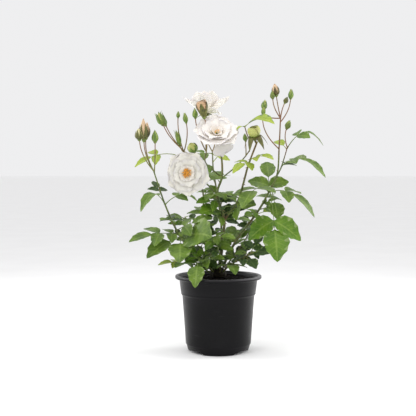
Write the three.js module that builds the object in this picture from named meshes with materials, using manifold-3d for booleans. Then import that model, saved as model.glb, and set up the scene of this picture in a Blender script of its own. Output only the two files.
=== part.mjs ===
// A white floribunda rose bush in its plastic nursery pot, in millimetres, +Z up.
// The origin is the centre of the pot's underside, -Y is the side that the blooms face.
import * as THREE from 'three';
import * as BufferGeometryUtils from 'three/addons/utils/BufferGeometryUtils.js';
import Module from 'manifold-3d';

const wasm = await Module();
wasm.setup();

// Pot
const POT_HEIGHT = 133;
const RIM_RADIUS = 75.6;
const MOUTH_RADIUS = 69.4;
const COLLAR_RADIUS = 68.6;
const COLLAR_FOOT = 104;
const RIDGE_RADIUS = 64.2;
const RIDGE_HEIGHT = 101;
const FOOT_STEP_RADIUS = 56.8;
const FOOT_STEP_HEIGHT = 14;
const FOOT_RADIUS = 53;
const BASE_RADIUS = 46;
const WALL = 1.7;
const RIM_DEPTH = 5.8;
const TURNS = 36;
const FOOT_LOBES = 3;
const LOBE_HALF_ANGLE = 27;
const NOTCH_SLOPE_ANGLE = 12;
const NOTCH_HEIGHT = 6;

// Potting mix
const GAP = 0.3;
const SOIL_EDGE = 124;
const SOIL_MIDDLE = 130.4;
const SOIL_FLAT_RADIUS = 18;
const SOIL_LUMP = 1.6;

// Crown, the woody knob that the canes rise from
const CROWN_RADIUS = 15.5;
const CROWN_RISE = 17;
const CROWN_BOTTOM = SOIL_MIDDLE + GAP;

// Leaves, buds and clearances
const BLADE_WIDTH = 0.3;
const BLADE_FOLD = 0.22;
const BLADE_THICKNESS = 0.013;
const LEAF_SINK = 0.5;
const RACHIS_FOOT = 0.95;
const RACHIS_TIP = 0.55;
const STALK_SAG = 0.5;
const PAIR_GAP = 0.34;
const PAIR_PITCH = 0.52;
const PAIR_ANGLE = 64;
const KEEP_CLEAR = 3.2;
const LEAFLET_SPOT = 2;
const POT_CLEAR_RADIUS = 78;
const POT_CLEAR_HEIGHT = 137;
const PEDICEL_RADIUS = 0.95;
const PETALS = 6;
const PETAL_THICKNESS = 1.7;
const LOBE_DENT = 0.16;
const SMALL_BLADE = 30;
const SHOOT_STEP = 30;
const TWIG_STEP = 22;
const SHOOT_SIDES = 5;
const BOUGH_SIDES = 6;
const STALK_SIDES = 3;
const SMALLEST_EDGE = 0.012;
const MERGE_STEP = 1e-3;
const SEED = 20;

// Cane routes from the crown to the tip: foot and tip radius, where the bare bough ends, which
// the leafy shoot then carries on, and the route by hand-chosen places
const SHOOTS = {
  left: {
    radii: [2.5, 1.15], bare: 0.45,
    route: [[-9, 0, 140], [-24, -2, 153], [-48, -7, 176], [-71, -14, 210], [-92, -22, 257], [-111, -28, 315]],
  },
  left_centre: {
    radii: [2.4, 1.2], bare: 0.42,
    route: [[-4, 7, 141], [-13, 12, 162], [-24, 18, 195], [-27, 22, 237], [-29, 24, 285], [-62, 14, 352]],
  },
  centre: {
    radii: [2.9, 1.5], bare: 0.45,
    route: [[0, -2, 141], [5, -1, 170], [8, -1, 200], [10, -4, 232], [-2, -10, 275], [6, -12, 305],
      [5, -14, 340], [-4, -24, 377]],
  },
  big_bud: {
    radii: [1.9, 1.5], bare: 0.06,
    route: [[10, -4, 229], [33, -20, 263], [42, -29, 292], [49, -37, 320], [57, -39, 343], [65, -41, 364]],
  },
  right: {
    radii: [2.7, 1.1], bare: 0.31,
    route: [[8, 3, 140], [14, 7, 160], [34, 14, 196], [68, 22, 240], [90, 28, 278], [105, 31, 310],
      [108, 30, 358], [110, 26, 408]],
  },
  back: {
    radii: [2.4, 1.1], bare: 0.36,
    route: [[2, 10, 139], [4, 26, 168], [6, 48, 215], [0, 70, 265], [-8, 85, 315], [-10, 92, 350]],
  },
  back_left: {
    radii: [1.7, 0.9], bare: 0,
    route: [[-8, 11, 136], [-22, 26, 160], [-45, 45, 196], [-60, 56, 232]],
  },
  back_right: {
    radii: [1.7, 0.9], bare: 0,
    route: [[9, 11, 136], [24, 26, 160], [48, 46, 190], [66, 60, 222]],
  },
  front_left: {
    radii: [1.6, 0.9], bare: 0,
    route: [[-8, -8, 138], [-17, -18, 150], [-27, -31, 161], [-33, -42, 166]],
  },
  front_right: {
    radii: [1.7, 0.9], bare: 0,
    route: [[6, -10, 138], [20, -18, 152], [42, -26, 166], [60, -32, 176]],
  },
  front_centre: {
    radii: [1.5, 0.9], bare: 0,
    route: [[2, -12, 138], [4, -24, 155], [0, -33, 178], [-8, -37, 203]],
  },
  low_left: {
    radii: [1.5, 0.9], bare: 0,
    route: [[-14, 3, 136], [-30, 4, 147], [-50, 6, 152], [-66, 8, 153]],
  },
};

// Side twigs of a shoot: foot and tip radius and the route
const TWIGS = {
  right_side: {
    shoot: 'right', radii: [1.3, 0.9],
    route: [[101, 30, 300], [110, 36, 316], [116, 42, 331], [124, 48, 357]],
  },
  left_branch: {
    shoot: 'centre', radii: [1.3, 1.1],
    route: [[6, -12, 304], [-10, -12, 317], [-23, -10, 331], [-21, -3, 348]],
  },
  third_bloom: {
    shoot: 'centre', radii: [1.1, 1.3],
    route: [[-21, -4, 345], [-22, 8, 366], [-22, 24, 392], [-21, 31, 413]],
  },
  right_branch: {
    shoot: 'centre', radii: [1.2, 0.9],
    route: [[6, -12, 303], [20, -13, 314], [36, -13, 328], [56, -15, 356], [49, -17, 378], [45, -20, 391]],
  },
  first_bloom: {
    shoot: 'centre', radii: [1.2, 1.4],
    route: [[-2, -10, 274], [-24, -13, 296], [-46, -14, 309], [-54, -26, 311]],
  },
};

// Blooms: the twig whose tip carries it, the way it faces (bearing, rise), radius, and how far
// the outer petals lie back from a flat disc
const BLOOMS = [
  { shoot: 'centre', stem: 'first_bloom', bearing: -90, rise: 2, radius: 39.5, open: 0.16 },
  { shoot: 'centre', stem: 'centre', bearing: -86, rise: 45, radius: 40, open: 0.18 },
  { shoot: 'centre', stem: 'third_bloom', bearing: 92, rise: 66, radius: 43, open: 0.62 },
];

// Buds: stem, place along it, bearing and rise and reach of the pedicel, bearing and rise of the
// bud that stands on it, and the bud's length and width
const BUDS = [
  ['left', 1, -154, 70, 52, -105, 87, 41, 14],
  ['left', 1, -145, 61, 58, -133, 83, 22, 13],
  ['left', 1, 164, 75, 55, 39, 84, 31, 12],
  ['left', 0.99, -53, 87, 50, -96, 87, 22, 11],
  ['left_centre', 1, -163, 50, 54, -147, 64, 25, 14],
  ['left_centre', 0.99, 180, 55, 54, -167, 65, 21, 9],
  ['left_centre', 0.98, 180, 57, 15, -164, 76, 29, 8],
  ['left_centre', 1, 155, 80, 56, 0, 87, 12, 6],
  ['left_centre', 0.99, -41, 83, 49, -165, 79, 20, 8],
  ['left_centre', 0.99, -39, -1, 25, -125, 45, 21, 17],
  ['left_branch', 1, -164, 71, 60, -150, 84, 18, 9],
  ['left_branch', 1, -98, 72, 59, -139, 73, 31, 17],
  ['right_branch', 0.5, 180, 88, 24, 180, 84, 14, 7],
  ['big_bud', 1, -148, 42, 5, -117, 69, 25, 22],
  ['right', 1, -152, 77, 38, -150, 80, 24, 13],
  ['right', 1, -151, 63, 36, -142, 84, 15, 8],
  ['right', 0.99, 15, 76, 30, 10, 64, 13, 8],
  ['right', 0.98, 25, 63, 45, 0, 86, 19, 9],
  ['right', 1, 172, 24, 33, 0, 82, 20, 10],
  ['right', 0.845, -161, 62, 66, 0, 83, 16, 7],
  ['right_side', 1, 129, 85, 32, 0, 70, 18, 10],
  ['back', 1, 40, 72, 34, 60, 80, 20, 11],
  ['back', 1, 150, 66, 30, 140, 80, 16, 9],
];
const BUD_CURVE = 0.45;

// Leaves that make the bush's outline: place along the stem, bearing, rise, reach, number of
// leaflets, length of the end leaflet, bow of the midrib, roll about it, and, where it is not the
// usual, the share that the blades are broader and how far the side leaflets droop
const LEAVES = {
  left: [
    [0.575, -158, -5, 92, 5, 42, 0.14, 20],
    [0.545, -150, -26, 74, 1, 50, 0.16, 30, 1.1],
    [0.55, -90, -31, 74, 1, 50, 0.1, 0, 1.3],
    [0.535, -50, 6, 79, 1, 64, 0.16, -60, 1.45],
    [0.61, -16, 18, 68, 3, 40, 0.14, -30],
    [0.8, -138, -10, 56, 3, 42, 0.85, 10],
    [0.8, 14, 4, 60, 3, 30, 0.5, -20],
    [0.84, 118, 36, 50, 3, 24, 0.1, 0],
    [0.66, 100, 14, 52, 3, 28, 0.14, 0],
  ],
  left_centre: [
    [0.95, -168, -8, 96, 3, 30, 0.34, 25],
    [0.5, -150, 14, 50, 3, 32, 0.12, 30],
    [0.56, 100, 22, 62, 3, 32, 0.12, 0],
    [0.74, 70, 18, 52, 3, 28, 0.12, 0],
    [0.88, 105, 8, 56, 3, 28, 0.16, 0],
  ],
  centre: [
    [0.47, -147, 0, 47, 1, 45, 0.16, 38, 1.15],
    [0.575, -117, -14, 46, 3, 26, 0.16, 0],
    [0.572, -12, -8, 38, 3, 22, 0.1, -20],
    [0.716, -148, 6, 18, 1, 12, 0, 0],
    [0.716, -24, 10, 17, 1, 11, 0, 0],
    [0.5, 78, 18, 56, 3, 32, 0.12, 0],
    [0.66, 110, 22, 50, 3, 28, 0.12, 0],
  ],
  right_branch: [
    [1, -12, 6, 53, 1, 48, 0.4, -28],
    [1, -140, -15, 20, 1, 19, 0.2, 0],
  ],
  big_bud: [
    [0.1, -52, 11, 65, 3, 36, 0.12, -50],
    [0.68, -140, -26, 42, 3, 28, 0.24, 20],
    [0.72, -38, 2, 48, 3, 26, 0.24, -20],
    [0.97, -30, -34, 34, 1, 28, 0.9, 0],
  ],
  right: [
    [0.575, 92, 50, 70, 3, 46, 0.2, 0],
    [0.57, -115, -10, 126, 3, 50, 0.28, 0],
    [0.565, -22, -25, 96, 3, 46, 0.4, -10],
    [0.585, -87, -46, 160, 3, 56, 0.12, 0, 1.3, 0.3],
    [0.6, -76, -53, 67, 1, 32, 0.1, 0, 1.5],
    [0.42, 30, 6, 52, 3, 36, 0.12, -20],
    [0.45, -20, 4, 48, 3, 24, 0.14, -20],
    [0.5, 70, 12, 62, 3, 32, 0.14, 0],
  ],
  right_side: [
    [0.53, -22, -14, 84, 3, 50, 0.5, -10],
    [0.97, 10, 4, 68, 3, 36, 0.8, -15],
    [0.96, 124, 24, 42, 1, 32, 0.16, 20],
    [0.4, 70, 12, 56, 3, 30, 0.14, 0],
  ],
  back_left: [
    [0.97, -160, 10, 34, 3, 28, 0.1, 20],
    [0.99, -30, 4, 36, 1, 30, 0.2, 0],
  ],
  back_right: [
    [0.97, 10, 4, 36, 3, 30, 0.2, -20],
    [0.99, -160, 14, 34, 1, 32, 0.1, 20, 1.1],
  ],
  front_left: [
    [0.97, -100, -46, 61, 1, 32, 0.34, 0, 1.45],
    [0.7, -30, 8, 44, 3, 28, 0.1, -25],
    [0.45, -170, 4, 42, 3, 26, 0.1, 20],
  ],
  front_right: [
    [0.98, -44, 2, 40, 1, 30, 0.1, -40, 1.4],
    [0.72, -66, -20, 46, 1, 28, 0.14, -20, 1.2],
    [0.5, 10, 20, 46, 3, 26, 0.1, -20],
    [0.3, -80, -8, 56, 3, 34, 0.24, 0],
  ],
  low_left: [
    [0.98, -172, -2, 42, 3, 26, 0.14, 20],
    [0.72, -120, -2, 44, 3, 26, 0.14, 10],
    [0.5, 130, 16, 46, 3, 26, 0.12, 0],
  ],
};
const SIDE_DROOP = 0.16;

// Leaves that follow the seeded rule: how many, from and to where along the shoot, first
// bearing, reach and length of the end leaflet. They turn their faces a little to the front.
const LEAF_RUNS = {
  centre: [3, 0.46, 0.52, 205, 46, 26],
  back: [7, 0.4, 0.98, 60, 56, 29],
  back_left: [7, 0.24, 0.95, 140, 52, 30],
  back_right: [7, 0.24, 0.95, 44, 52, 30],
  front_left: [3, 0.3, 0.8, -150, 40, 24],
  front_right: [4, 0.3, 0.9, -20, 42, 25],
  front_centre: [6, 0.3, 1, -30, 38, 25],
  low_left: [4, 0.3, 0.9, 160, 42, 25],
};
const RUN_STEP = 144;
const RUN_JITTER = 14;
const RUN_RISE = 16;
const RUN_SPREAD = 0.14;
const RUN_BOW = 0.14;
const RUN_ROLL = 12;
const RUN_LEAN = 32;
const RUN_TILT = 24;

const UP = new THREE.Vector3(0, 0, 1);
const BACKWARD = new THREE.Vector3(0, 1, 0);
const RIGHTWARD = new THREE.Vector3(1, 0, 0);
const radians = THREE.MathUtils.degToRad;

let draw = SEED;
const jitter = () => {
  draw = (draw * 16807) % 2147483647;
  return (draw / 2147483647) * 2 - 1;
};

const heading = (bearing, rise) => new THREE.Vector3(
  Math.cos(radians(bearing)) * Math.cos(radians(rise)),
  Math.sin(radians(bearing)) * Math.cos(radians(rise)),
  Math.sin(radians(rise)),
);
const smoothRoute = (places) => new THREE.CatmullRomCurve3(
  places.map((place) => new THREE.Vector3(...place)), false, 'catmullrom', 0.5,
);
function bowedRoute(foot, tip, bow) {
  const knee = foot.clone().add(tip).multiplyScalar(0.5);
  knee.z += bow * foot.distanceTo(tip);
  return new THREE.QuadraticBezierCurve3(foot, knee, tip);
}
function directionAt(route, along) {
  const ahead = route.getPoint(Math.min(along + 0.01, 1));
  const behind = route.getPoint(Math.max(along - 0.01, 0));
  return ahead.sub(behind).normalize();
}

// A closed skin swept through rows, each with its centre, two crossing directions and half sizes.
// A row of no size closes an end. The first direction crossed with the way along gives the second.
function sweep(sides, rows) {
  const skin = new THREE.CylinderGeometry(0, 0, 1, sides, rows.length - 1);
  const place = skin.getAttribute('position');
  const uv = skin.getAttribute('uv');
  for (let i = 0; i < place.count; i += 1) {
    const row = rows[Math.round(uv.getY(i) * (rows.length - 1))];
    const angle = uv.getX(i) * 2 * Math.PI;
    const scallop = row.petals ? 1 - LOBE_DENT * (Math.cos(angle * PETALS + row.petals) > 0.9) : 1;
    const across = Math.sin(angle) * row.wide * scallop;
    const upward = Math.cos(angle) * row.thick * scallop + Math.abs(across) * row.fold;
    const spot = row.centre.clone().addScaledVector(row.side, across).addScaledVector(row.lift, upward);
    place.setXYZ(i, spot.x, spot.y, spot.z);
  }
  return skin;
}

// A tapering limb with flat ends, from one place along its route to another
function limb(route, from, to, footRadius, tipRadius, sides, steps) {
  const chord = route.getPoint(to).sub(route.getPoint(from));
  const reference = Math.abs(chord.y) < 0.8 * chord.length() ? BACKWARD : RIGHTWARD;
  const rows = [];
  for (let step = 0; step <= steps; step += 1) {
    const along = from + ((to - from) * step) / steps;
    const way = directionAt(route, along);
    const side = new THREE.Vector3().crossVectors(way, reference).normalize();
    const lift = new THREE.Vector3().crossVectors(side, way);
    const radius = footRadius + ((tipRadius - footRadius) * step) / steps;
    const row = { centre: route.getPoint(along), side, lift, wide: radius, thick: radius, fold: 0 };
    if (step === 0) rows.push({ ...row, wide: 0, thick: 0 });
    rows.push(row);
    if (step === steps) rows.push({ ...row, wide: 0, thick: 0 });
  }
  return sweep(sides, rows);
}

// Solids by way of manifold
function toSolid(geometry) {
  geometry.deleteAttribute('normal');
  geometry.deleteAttribute('uv');
  const merged = BufferGeometryUtils.mergeVertices(geometry, 1e-4);
  const mesh = new wasm.Mesh({
    numProp: 3,
    vertProperties: new Float32Array(merged.getAttribute('position').array),
    triVerts: new Uint32Array(merged.getIndex().array),
    tolerance: SMALLEST_EDGE,
  });
  return new wasm.Manifold(mesh);
}
// Vertices within the merge step are one, and slivers and folded pairs of faces that this leaves go
function toGeometry(solid) {
  const { vertProperties, triVerts } = solid.getMesh();
  const skin = new THREE.BufferGeometry();
  skin.setAttribute('position', new THREE.BufferAttribute(vertProperties, 3));
  skin.setIndex(new THREE.BufferAttribute(triVerts, 1));
  const geometry = BufferGeometryUtils.mergeVertices(skin, MERGE_STEP);
  const index = geometry.getIndex().array;
  const faces = new Map();
  for (let i = 0; i < index.length; i += 3) {
    const face = [index[i], index[i + 1], index[i + 2]];
    const key = [...face].sort((a, b) => a - b).join(' ');
    if (faces.has(key)) faces.delete(key);
    else if (new Set(face).size === 3) faces.set(key, face);
  }
  geometry.setIndex([...faces.values()].flat());
  geometry.computeVertexNormals();
  return geometry;
}
// Joins pieces, and keeps only the largest shell, so no sealed hollow and no loose scrap stays
function fuse(pieces) {
  let solids = pieces.map(toSolid);
  while (solids.length > 1) {
    const joined = [];
    for (let i = 0; i < solids.length; i += 2) {
      joined.push(i + 1 < solids.length ? solids[i].add(solids[i + 1]) : solids[i]);
    }
    solids = joined;
  }
  const shells = solids[0].decompose();
  return shells.reduce((best, shell) => (shell.volume() > best.volume() ? shell : best));
}

const bush = new THREE.Group();
const finishes = {
  pot: { color: 0x232225, roughness: 0.45, metalness: 0 },
  soil: { color: 0x17110d, roughness: 1, metalness: 0 },
  bark: { color: 0x5c4a2a, roughness: 0.7, metalness: 0 },
  cane: { color: 0x5e6b34, roughness: 0.55, metalness: 0 },
  foliage: { color: 0x4f7a2c, roughness: 0.5, metalness: 0 },
};
function addPart(name, geometry, finish) {
  const mesh = new THREE.Mesh(geometry, new THREE.MeshStandardMaterial(finishes[finish]));
  mesh.name = name;
  bush.add(mesh);
}

// Pot: one closed profile turned about the axis, with three notches in the foot's corner
const WALL_PROFILE = [
  [0, 0], [BASE_RADIUS, 0], [FOOT_RADIUS, 0], [FOOT_STEP_RADIUS - 1.3, FOOT_STEP_HEIGHT - 3],
  [FOOT_STEP_RADIUS, FOOT_STEP_HEIGHT], [RIDGE_RADIUS - 1.1, RIDGE_HEIGHT - 4], [RIDGE_RADIUS, RIDGE_HEIGHT],
  [RIDGE_RADIUS + 1.2, COLLAR_FOOT], [COLLAR_RADIUS, POT_HEIGHT - RIM_DEPTH - 0.6],
  [RIM_RADIUS - 0.8, POT_HEIGHT - RIM_DEPTH], [RIM_RADIUS, POT_HEIGHT - 2], [RIM_RADIUS - 1.4, POT_HEIGHT],
  [MOUTH_RADIUS + 1.2, POT_HEIGHT], [MOUTH_RADIUS, POT_HEIGHT - 1.4],
];
const innerRadius = (height) => {
  const share = (height - FOOT_STEP_HEIGHT) / (POT_HEIGHT - FOOT_STEP_HEIGHT);
  return FOOT_STEP_RADIUS - WALL + share * (COLLAR_RADIUS - FOOT_STEP_RADIUS) - 1;
};
const INSIDE_PROFILE = [
  [innerRadius(SOIL_EDGE + 4), SOIL_EDGE + 4], [innerRadius(WALL + 6), WALL + 6], [0, WALL + 1],
];
function turned(profile) {
  const points = profile.map(([radius, height]) => new THREE.Vector2(radius, height));
  return new THREE.LatheGeometry(points, TURNS).rotateX(Math.PI / 2);
}
function notchShare(angle) {
  const lobe = 360 / FOOT_LOBES;
  const fromLobe = Math.abs(((((angle + 90) % lobe) + lobe * 1.5) % lobe) - lobe / 2);
  return THREE.MathUtils.smoothstep(fromLobe, LOBE_HALF_ANGLE, LOBE_HALF_ANGLE + NOTCH_SLOPE_ANGLE);
}
function makePot() {
  const pot = turned([...WALL_PROFILE, ...INSIDE_PROFILE]);
  const place = pot.getAttribute('position');
  for (let i = 0; i < place.count; i += 1) {
    const radius = Math.hypot(place.getX(i), place.getY(i));
    if (Math.abs(radius - FOOT_RADIUS) < 0.01 && place.getZ(i) < 1) {
      const angle = THREE.MathUtils.radToDeg(Math.atan2(place.getY(i), place.getX(i)));
      place.setZ(i, NOTCH_HEIGHT * notchShare(angle));
    }
  }
  addPart('pot', toGeometry(toSolid(pot)), 'pot');
}

// Potting mix, a little heaped to the middle and lumpy between there and the wall
function makeSoil() {
  const floor = WALL + 1 + GAP + 0.1;
  const edge = innerRadius(SOIL_EDGE) - GAP;
  const rings = [0.82, 0.62, 0.44];
  const profile = [[0, floor], [innerRadius(WALL + 6) - GAP - 0.2, WALL + 6.2 + GAP], [edge, SOIL_EDGE]];
  for (const ring of rings) {
    const share = (edge - edge * ring) / (edge - SOIL_FLAT_RADIUS);
    profile.push([edge * ring, SOIL_EDGE + (SOIL_MIDDLE - SOIL_EDGE) * share]);
  }
  profile.push([SOIL_FLAT_RADIUS, SOIL_MIDDLE], [0, SOIL_MIDDLE]);
  const soil = turned(profile);
  const place = soil.getAttribute('position');
  for (let i = 0; i < place.count; i += 1) {
    const [x, y, z] = [place.getX(i), place.getY(i), place.getZ(i)];
    const radius = Math.hypot(x, y);
    if (z > SOIL_EDGE + 0.5 && radius > SOIL_FLAT_RADIUS + 1) {
      place.setZ(i, z + SOIL_LUMP * Math.sin(x * 0.31 + 1) * Math.cos(y * 0.27));
    }
  }
  addPart('soil', toGeometry(toSolid(soil)), 'soil');
}

// Crown: a squat knob with a flat cut at the level of the potting mix
function crownSolid(swell) {
  const profile = [[0, 0], [0.86, 0], [1, 0.3], [0.82, 0.72], [0.42, 0.95], [0, 1]].map(([out, up]) => [
    out * CROWN_RADIUS + (out > 0 ? swell : 0),
    CROWN_BOTTOM + up * CROWN_RISE + (up > 0 ? swell : -swell),
  ]);
  const points = profile.map(([radius, height]) => new THREE.Vector2(radius, height));
  return toSolid(new THREE.LatheGeometry(points, 14).rotateX(Math.PI / 2));
}

// What is already grown: spots with the radius round them, each with the shoot that it belongs
// to and, for a leaflet, its leaf. A new leaflet keeps clear of other shoots and other leaves.
const grown = [];
let leafCount = 0;
const claim = (owner, spot, radius, leaf = 0) => grown.push({ owner, spot, radius, leaf });
function isClear(owner, spots) {
  return spots.every((spot) => {
    const inPot = Math.hypot(spot.x, spot.y) < POT_CLEAR_RADIUS && spot.z < POT_CLEAR_HEIGHT;
    return !inPot && grown.every((other) => {
      const ownWood = other.owner === owner && (other.leaf === 0 || other.leaf === leafCount);
      return ownWood || other.spot.distanceTo(spot) > other.radius + KEEP_CLEAR;
    });
  });
}
function claimLimb(owner, route, radius, from, to) {
  const steps = Math.ceil(route.getPoint(from).distanceTo(route.getPoint(to)) / 5);
  for (let step = 0; step <= steps; step += 1) {
    claim(owner, route.getPoint(from + ((to - from) * step) / steps), radius);
  }
}

const routes = {};
const owners = {};
const pieces = {};
for (const [name, shoot] of Object.entries(SHOOTS)) {
  routes[name] = smoothRoute(shoot.route);
  owners[name] = name;
  pieces[name] = [];
}
for (const [name, twig] of Object.entries(TWIGS)) {
  routes[name] = smoothRoute(twig.route);
  owners[name] = twig.shoot;
}

// Canes: the bare bough, then the leafy shoot's stem carries on from its tip, a gap clear
function growStem(name, shoot) {
  const route = routes[name];
  const length = route.getLength();
  const start = shoot.bare > 0 ? shoot.bare + GAP / length : 0;
  const radiusAt = (along) => shoot.radii[0] + (shoot.radii[1] - shoot.radii[0]) * along;
  const steps = Math.round((length * (1 - start)) / SHOOT_STEP) + 2;
  pieces[name].push(limb(route, start, 1, radiusAt(start), radiusAt(1), SHOOT_SIDES, steps));
  claimLimb(name, route, shoot.radii[0], 0, 1);
}
function growTwig(name, twig) {
  const steps = Math.round(routes[name].getLength() / TWIG_STEP) + 1;
  pieces[twig.shoot].push(limb(routes[name], 0, 1, ...twig.radii, SHOOT_SIDES, steps));
  claimLimb(twig.shoot, routes[name], twig.radii[0], 0, 1);
}

// A bud stands on from the end of its pedicel, over the small round hip
const BUD_FORM = [[0, 0], [0.05, 0.34], [0.24, 0.54], [0.46, 1], [0.78, 0.66], [1, 0]];
function growBud([stem, along, bearing, rise, reach, leanBearing, leanRise, length, width]) {
  const owner = owners[stem];
  const foot = routes[stem].getPoint(along);
  const seat = foot.clone().addScaledVector(heading(bearing, rise), reach);
  const way = heading(leanBearing, leanRise);
  const knee = seat.clone().addScaledVector(way, -BUD_CURVE * reach);
  const pedicel = new THREE.QuadraticBezierCurve3(foot, knee, seat);
  pieces[owner].push(limb(pedicel, 0, 1, PEDICEL_RADIUS + 0.1, PEDICEL_RADIUS, STALK_SIDES, 3));
  claimLimb(owner, pedicel, PEDICEL_RADIUS, 0, 1);
  const side = new THREE.Vector3().crossVectors(way, Math.abs(way.x) < 0.7 ? RIGHTWARD : UP).normalize();
  const lift = new THREE.Vector3().crossVectors(side, way);
  const rows = BUD_FORM.map(([up, out]) => ({
    centre: seat.clone().addScaledVector(way, up * length - PEDICEL_RADIUS),
    side, lift, wide: (out * width) / 2, thick: (out * width) / 2, fold: 0,
  }));
  pieces[owner].push(sweep(5, rows));
  claim(owner, seat.clone().addScaledVector(way, length * 0.35), width / 2);
  claim(owner, seat.clone().addScaledVector(way, length * 0.8), width / 3);
}

// A bloom, in one closed sheet: the dished outer whorl with its scalloped edge, the inner whorl
// standing up inside it, and the button of stamens. Its rows say how far forward and how far out.
const OUTER_PETALS = 2 * Math.PI;
const INNER_PETALS = Math.PI;
function bloomRows(radius, forward) {
  return [
    [0, 0], [forward * 0.45, radius * 0.5, OUTER_PETALS], [forward, radius, OUTER_PETALS],
    [forward * 0.5 + PETAL_THICKNESS, radius * 0.56, OUTER_PETALS],
    [forward * 0.5 + radius * 0.26, radius * 0.64, INNER_PETALS],
    [forward * 0.2 + 3, radius * 0.2], [forward * 0.2 + 6, radius * 0.13], [forward * 0.2 + 7, 0],
  ];
}
const HIP_FORM = [[-6, 0], [-5.5, 2.2], [-1, 3.4], [1.5, 2], [1.5, 0]];
const BLOOM_SPOTS = 16;
const BLOOM_SPOT_RADIUS = 4;
function growBloom({ shoot, stem, bearing, rise, radius, open }) {
  const face = heading(bearing, rise);
  const seat = routes[stem].getPoint(1).addScaledVector(face, 2);
  const side = new THREE.Vector3().crossVectors(Math.abs(face.z) < 0.8 ? UP : RIGHTWARD, face).normalize();
  const lift = new THREE.Vector3().crossVectors(side, face);
  const rowAt = ([forward, wide, petals = 0]) => ({
    centre: seat.clone().addScaledVector(face, forward), side, lift, wide, thick: wide, fold: 0, petals,
  });
  pieces[shoot].push(sweep(6, HIP_FORM.map(rowAt)));
  pieces[shoot].push(sweep(PETALS * 3, bloomRows(radius, radius * open).map(rowAt)));
  for (let k = 0; k < BLOOM_SPOTS; k += 1) {
    const angle = (2 * Math.PI * k) / BLOOM_SPOTS;
    const way = side.clone().multiplyScalar(Math.cos(angle)).addScaledVector(lift, Math.sin(angle));
    for (const share of [0.35, 0.7, 1]) {
      const spot = seat.clone().addScaledVector(way, radius * share);
      claim(shoot, spot.addScaledVector(face, radius * open * share), BLOOM_SPOT_RADIUS);
    }
  }
}

// One leaflet: a folded blade along its own midrib, wide below the middle
const BLADE_FORM = [[0, 0], [0.32, 0.94], [0.68, 0.86], [1, 0]];
const SIMPLE_BLADE_FORM = [[0, 0], [0.46, 1.06], [1, 0]];
function blade(form, route, side, length, broad, from) {
  const rows = form.map(([share, width]) => {
    const along = from + (1 - from) * share;
    const way = directionAt(route, along);
    const lift = new THREE.Vector3().crossVectors(side, way).normalize();
    return {
      centre: route.getPoint(along), side, lift,
      wide: width * BLADE_WIDTH * broad * length,
      thick: width > 0 ? BLADE_THICKNESS * length : 0,
      fold: BLADE_FOLD,
    };
  });
  return sweep(4, rows);
}
function bladeSpots(route, side, length, broad, from) {
  const spots = [];
  for (const [share, width] of [[0.15, 0.4], [0.32, 0.9], [0.5, 0.9], [0.68, 0.82], [0.85, 0.4], [1, 0]]) {
    const centre = route.getPoint(from + (1 - from) * share);
    for (const hand of [-1, -0.5, 0, 0.5, 1]) {
      spots.push(centre.clone().addScaledVector(side, hand * width * BLADE_WIDTH * broad * length));
    }
  }
  return spots;
}
function addBlade(owner, route, side, length, broad, from) {
  const spots = bladeSpots(route, side, length, broad, from);
  if (!isClear(owner, spots)) return;
  const form = length < SMALL_BLADE ? SIMPLE_BLADE_FORM : BLADE_FORM;
  pieces[owner].push(blade(form, route, side, length, broad, from));
  spots.forEach((spot) => claim(owner, spot, LEAFLET_SPOT, leafCount));
}

// A compound leaf: the stalk bows out from its node, the end leaflet carries on along it, and
// pairs of leaflets stand off it. A leaf whose stalk is not clear is left out.
function growLeaf(stem, leaf) {
  const [along, bearing, rise, reach, leaflets, length, bow, roll, broad = 1, droop = SIDE_DROOP] = leaf;
  const owner = owners[stem];
  leafCount += 1;
  const foot = routes[stem].getPoint(along);
  const tip = foot.clone().addScaledVector(heading(bearing, rise), reach);
  const route = bowedRoute(foot, tip, bow);
  const level = new THREE.Vector3(Math.sin(radians(bearing)), -Math.cos(radians(bearing)), 0);
  const stalkEnd = Math.max(1 - length / reach, 0.12);
  const stalkSpots = [0.35, 0.7, 1].map((share) => route.getPoint(stalkEnd * share));
  if (!isClear(owner, stalkSpots)) return;
  const steps = Math.max(2, Math.round(stalkEnd * Math.sqrt(Math.abs(bow) * reach / STALK_SAG)));
  pieces[owner].push(limb(route, 0, stalkEnd + 1.5 / reach, RACHIS_FOOT, RACHIS_TIP, STALK_SIDES, steps));
  stalkSpots.forEach((spot) => claim(owner, spot, RACHIS_FOOT));
  const sideAt = (place) => {
    const way = directionAt(route, place);
    const lift = new THREE.Vector3().crossVectors(level, way).normalize();
    const flat = level.clone().multiplyScalar(Math.cos(radians(roll)));
    return flat.addScaledVector(lift, Math.sin(radians(roll)));
  };
  addBlade(owner, route, sideAt(1), length, broad, stalkEnd - LEAF_SINK / reach);
  for (let pair = 0; pair < (leaflets - 1) / 2; pair += 1) {
    const place = stalkEnd - ((PAIR_GAP + PAIR_PITCH * pair) * length) / reach;
    if (place < 0.1) break;
    const node = route.getPoint(place);
    const way = directionAt(route, place);
    const side = sideAt(place);
    const lift = new THREE.Vector3().crossVectors(side, way).normalize();
    const leafletLength = length * (0.9 - 0.14 * pair);
    for (const hand of [-1, 1]) {
      const spread = radians(PAIR_ANGLE + 8 * pair + 6 * jitter());
      const out = way.clone().multiplyScalar(Math.cos(spread)).addScaledVector(side, hand * Math.sin(spread));
      const end = node.clone().addScaledVector(out, leafletLength);
      end.z -= leafletLength * (droop + 0.08 * jitter());
      const start = node.clone().addScaledVector(out, -LEAF_SINK);
      const leafletSide = new THREE.Vector3().crossVectors(out, lift).normalize();
      addBlade(owner, bowedRoute(start, end, 0.1), leafletSide, leafletLength, broad, 0);
    }
  }
}
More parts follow.
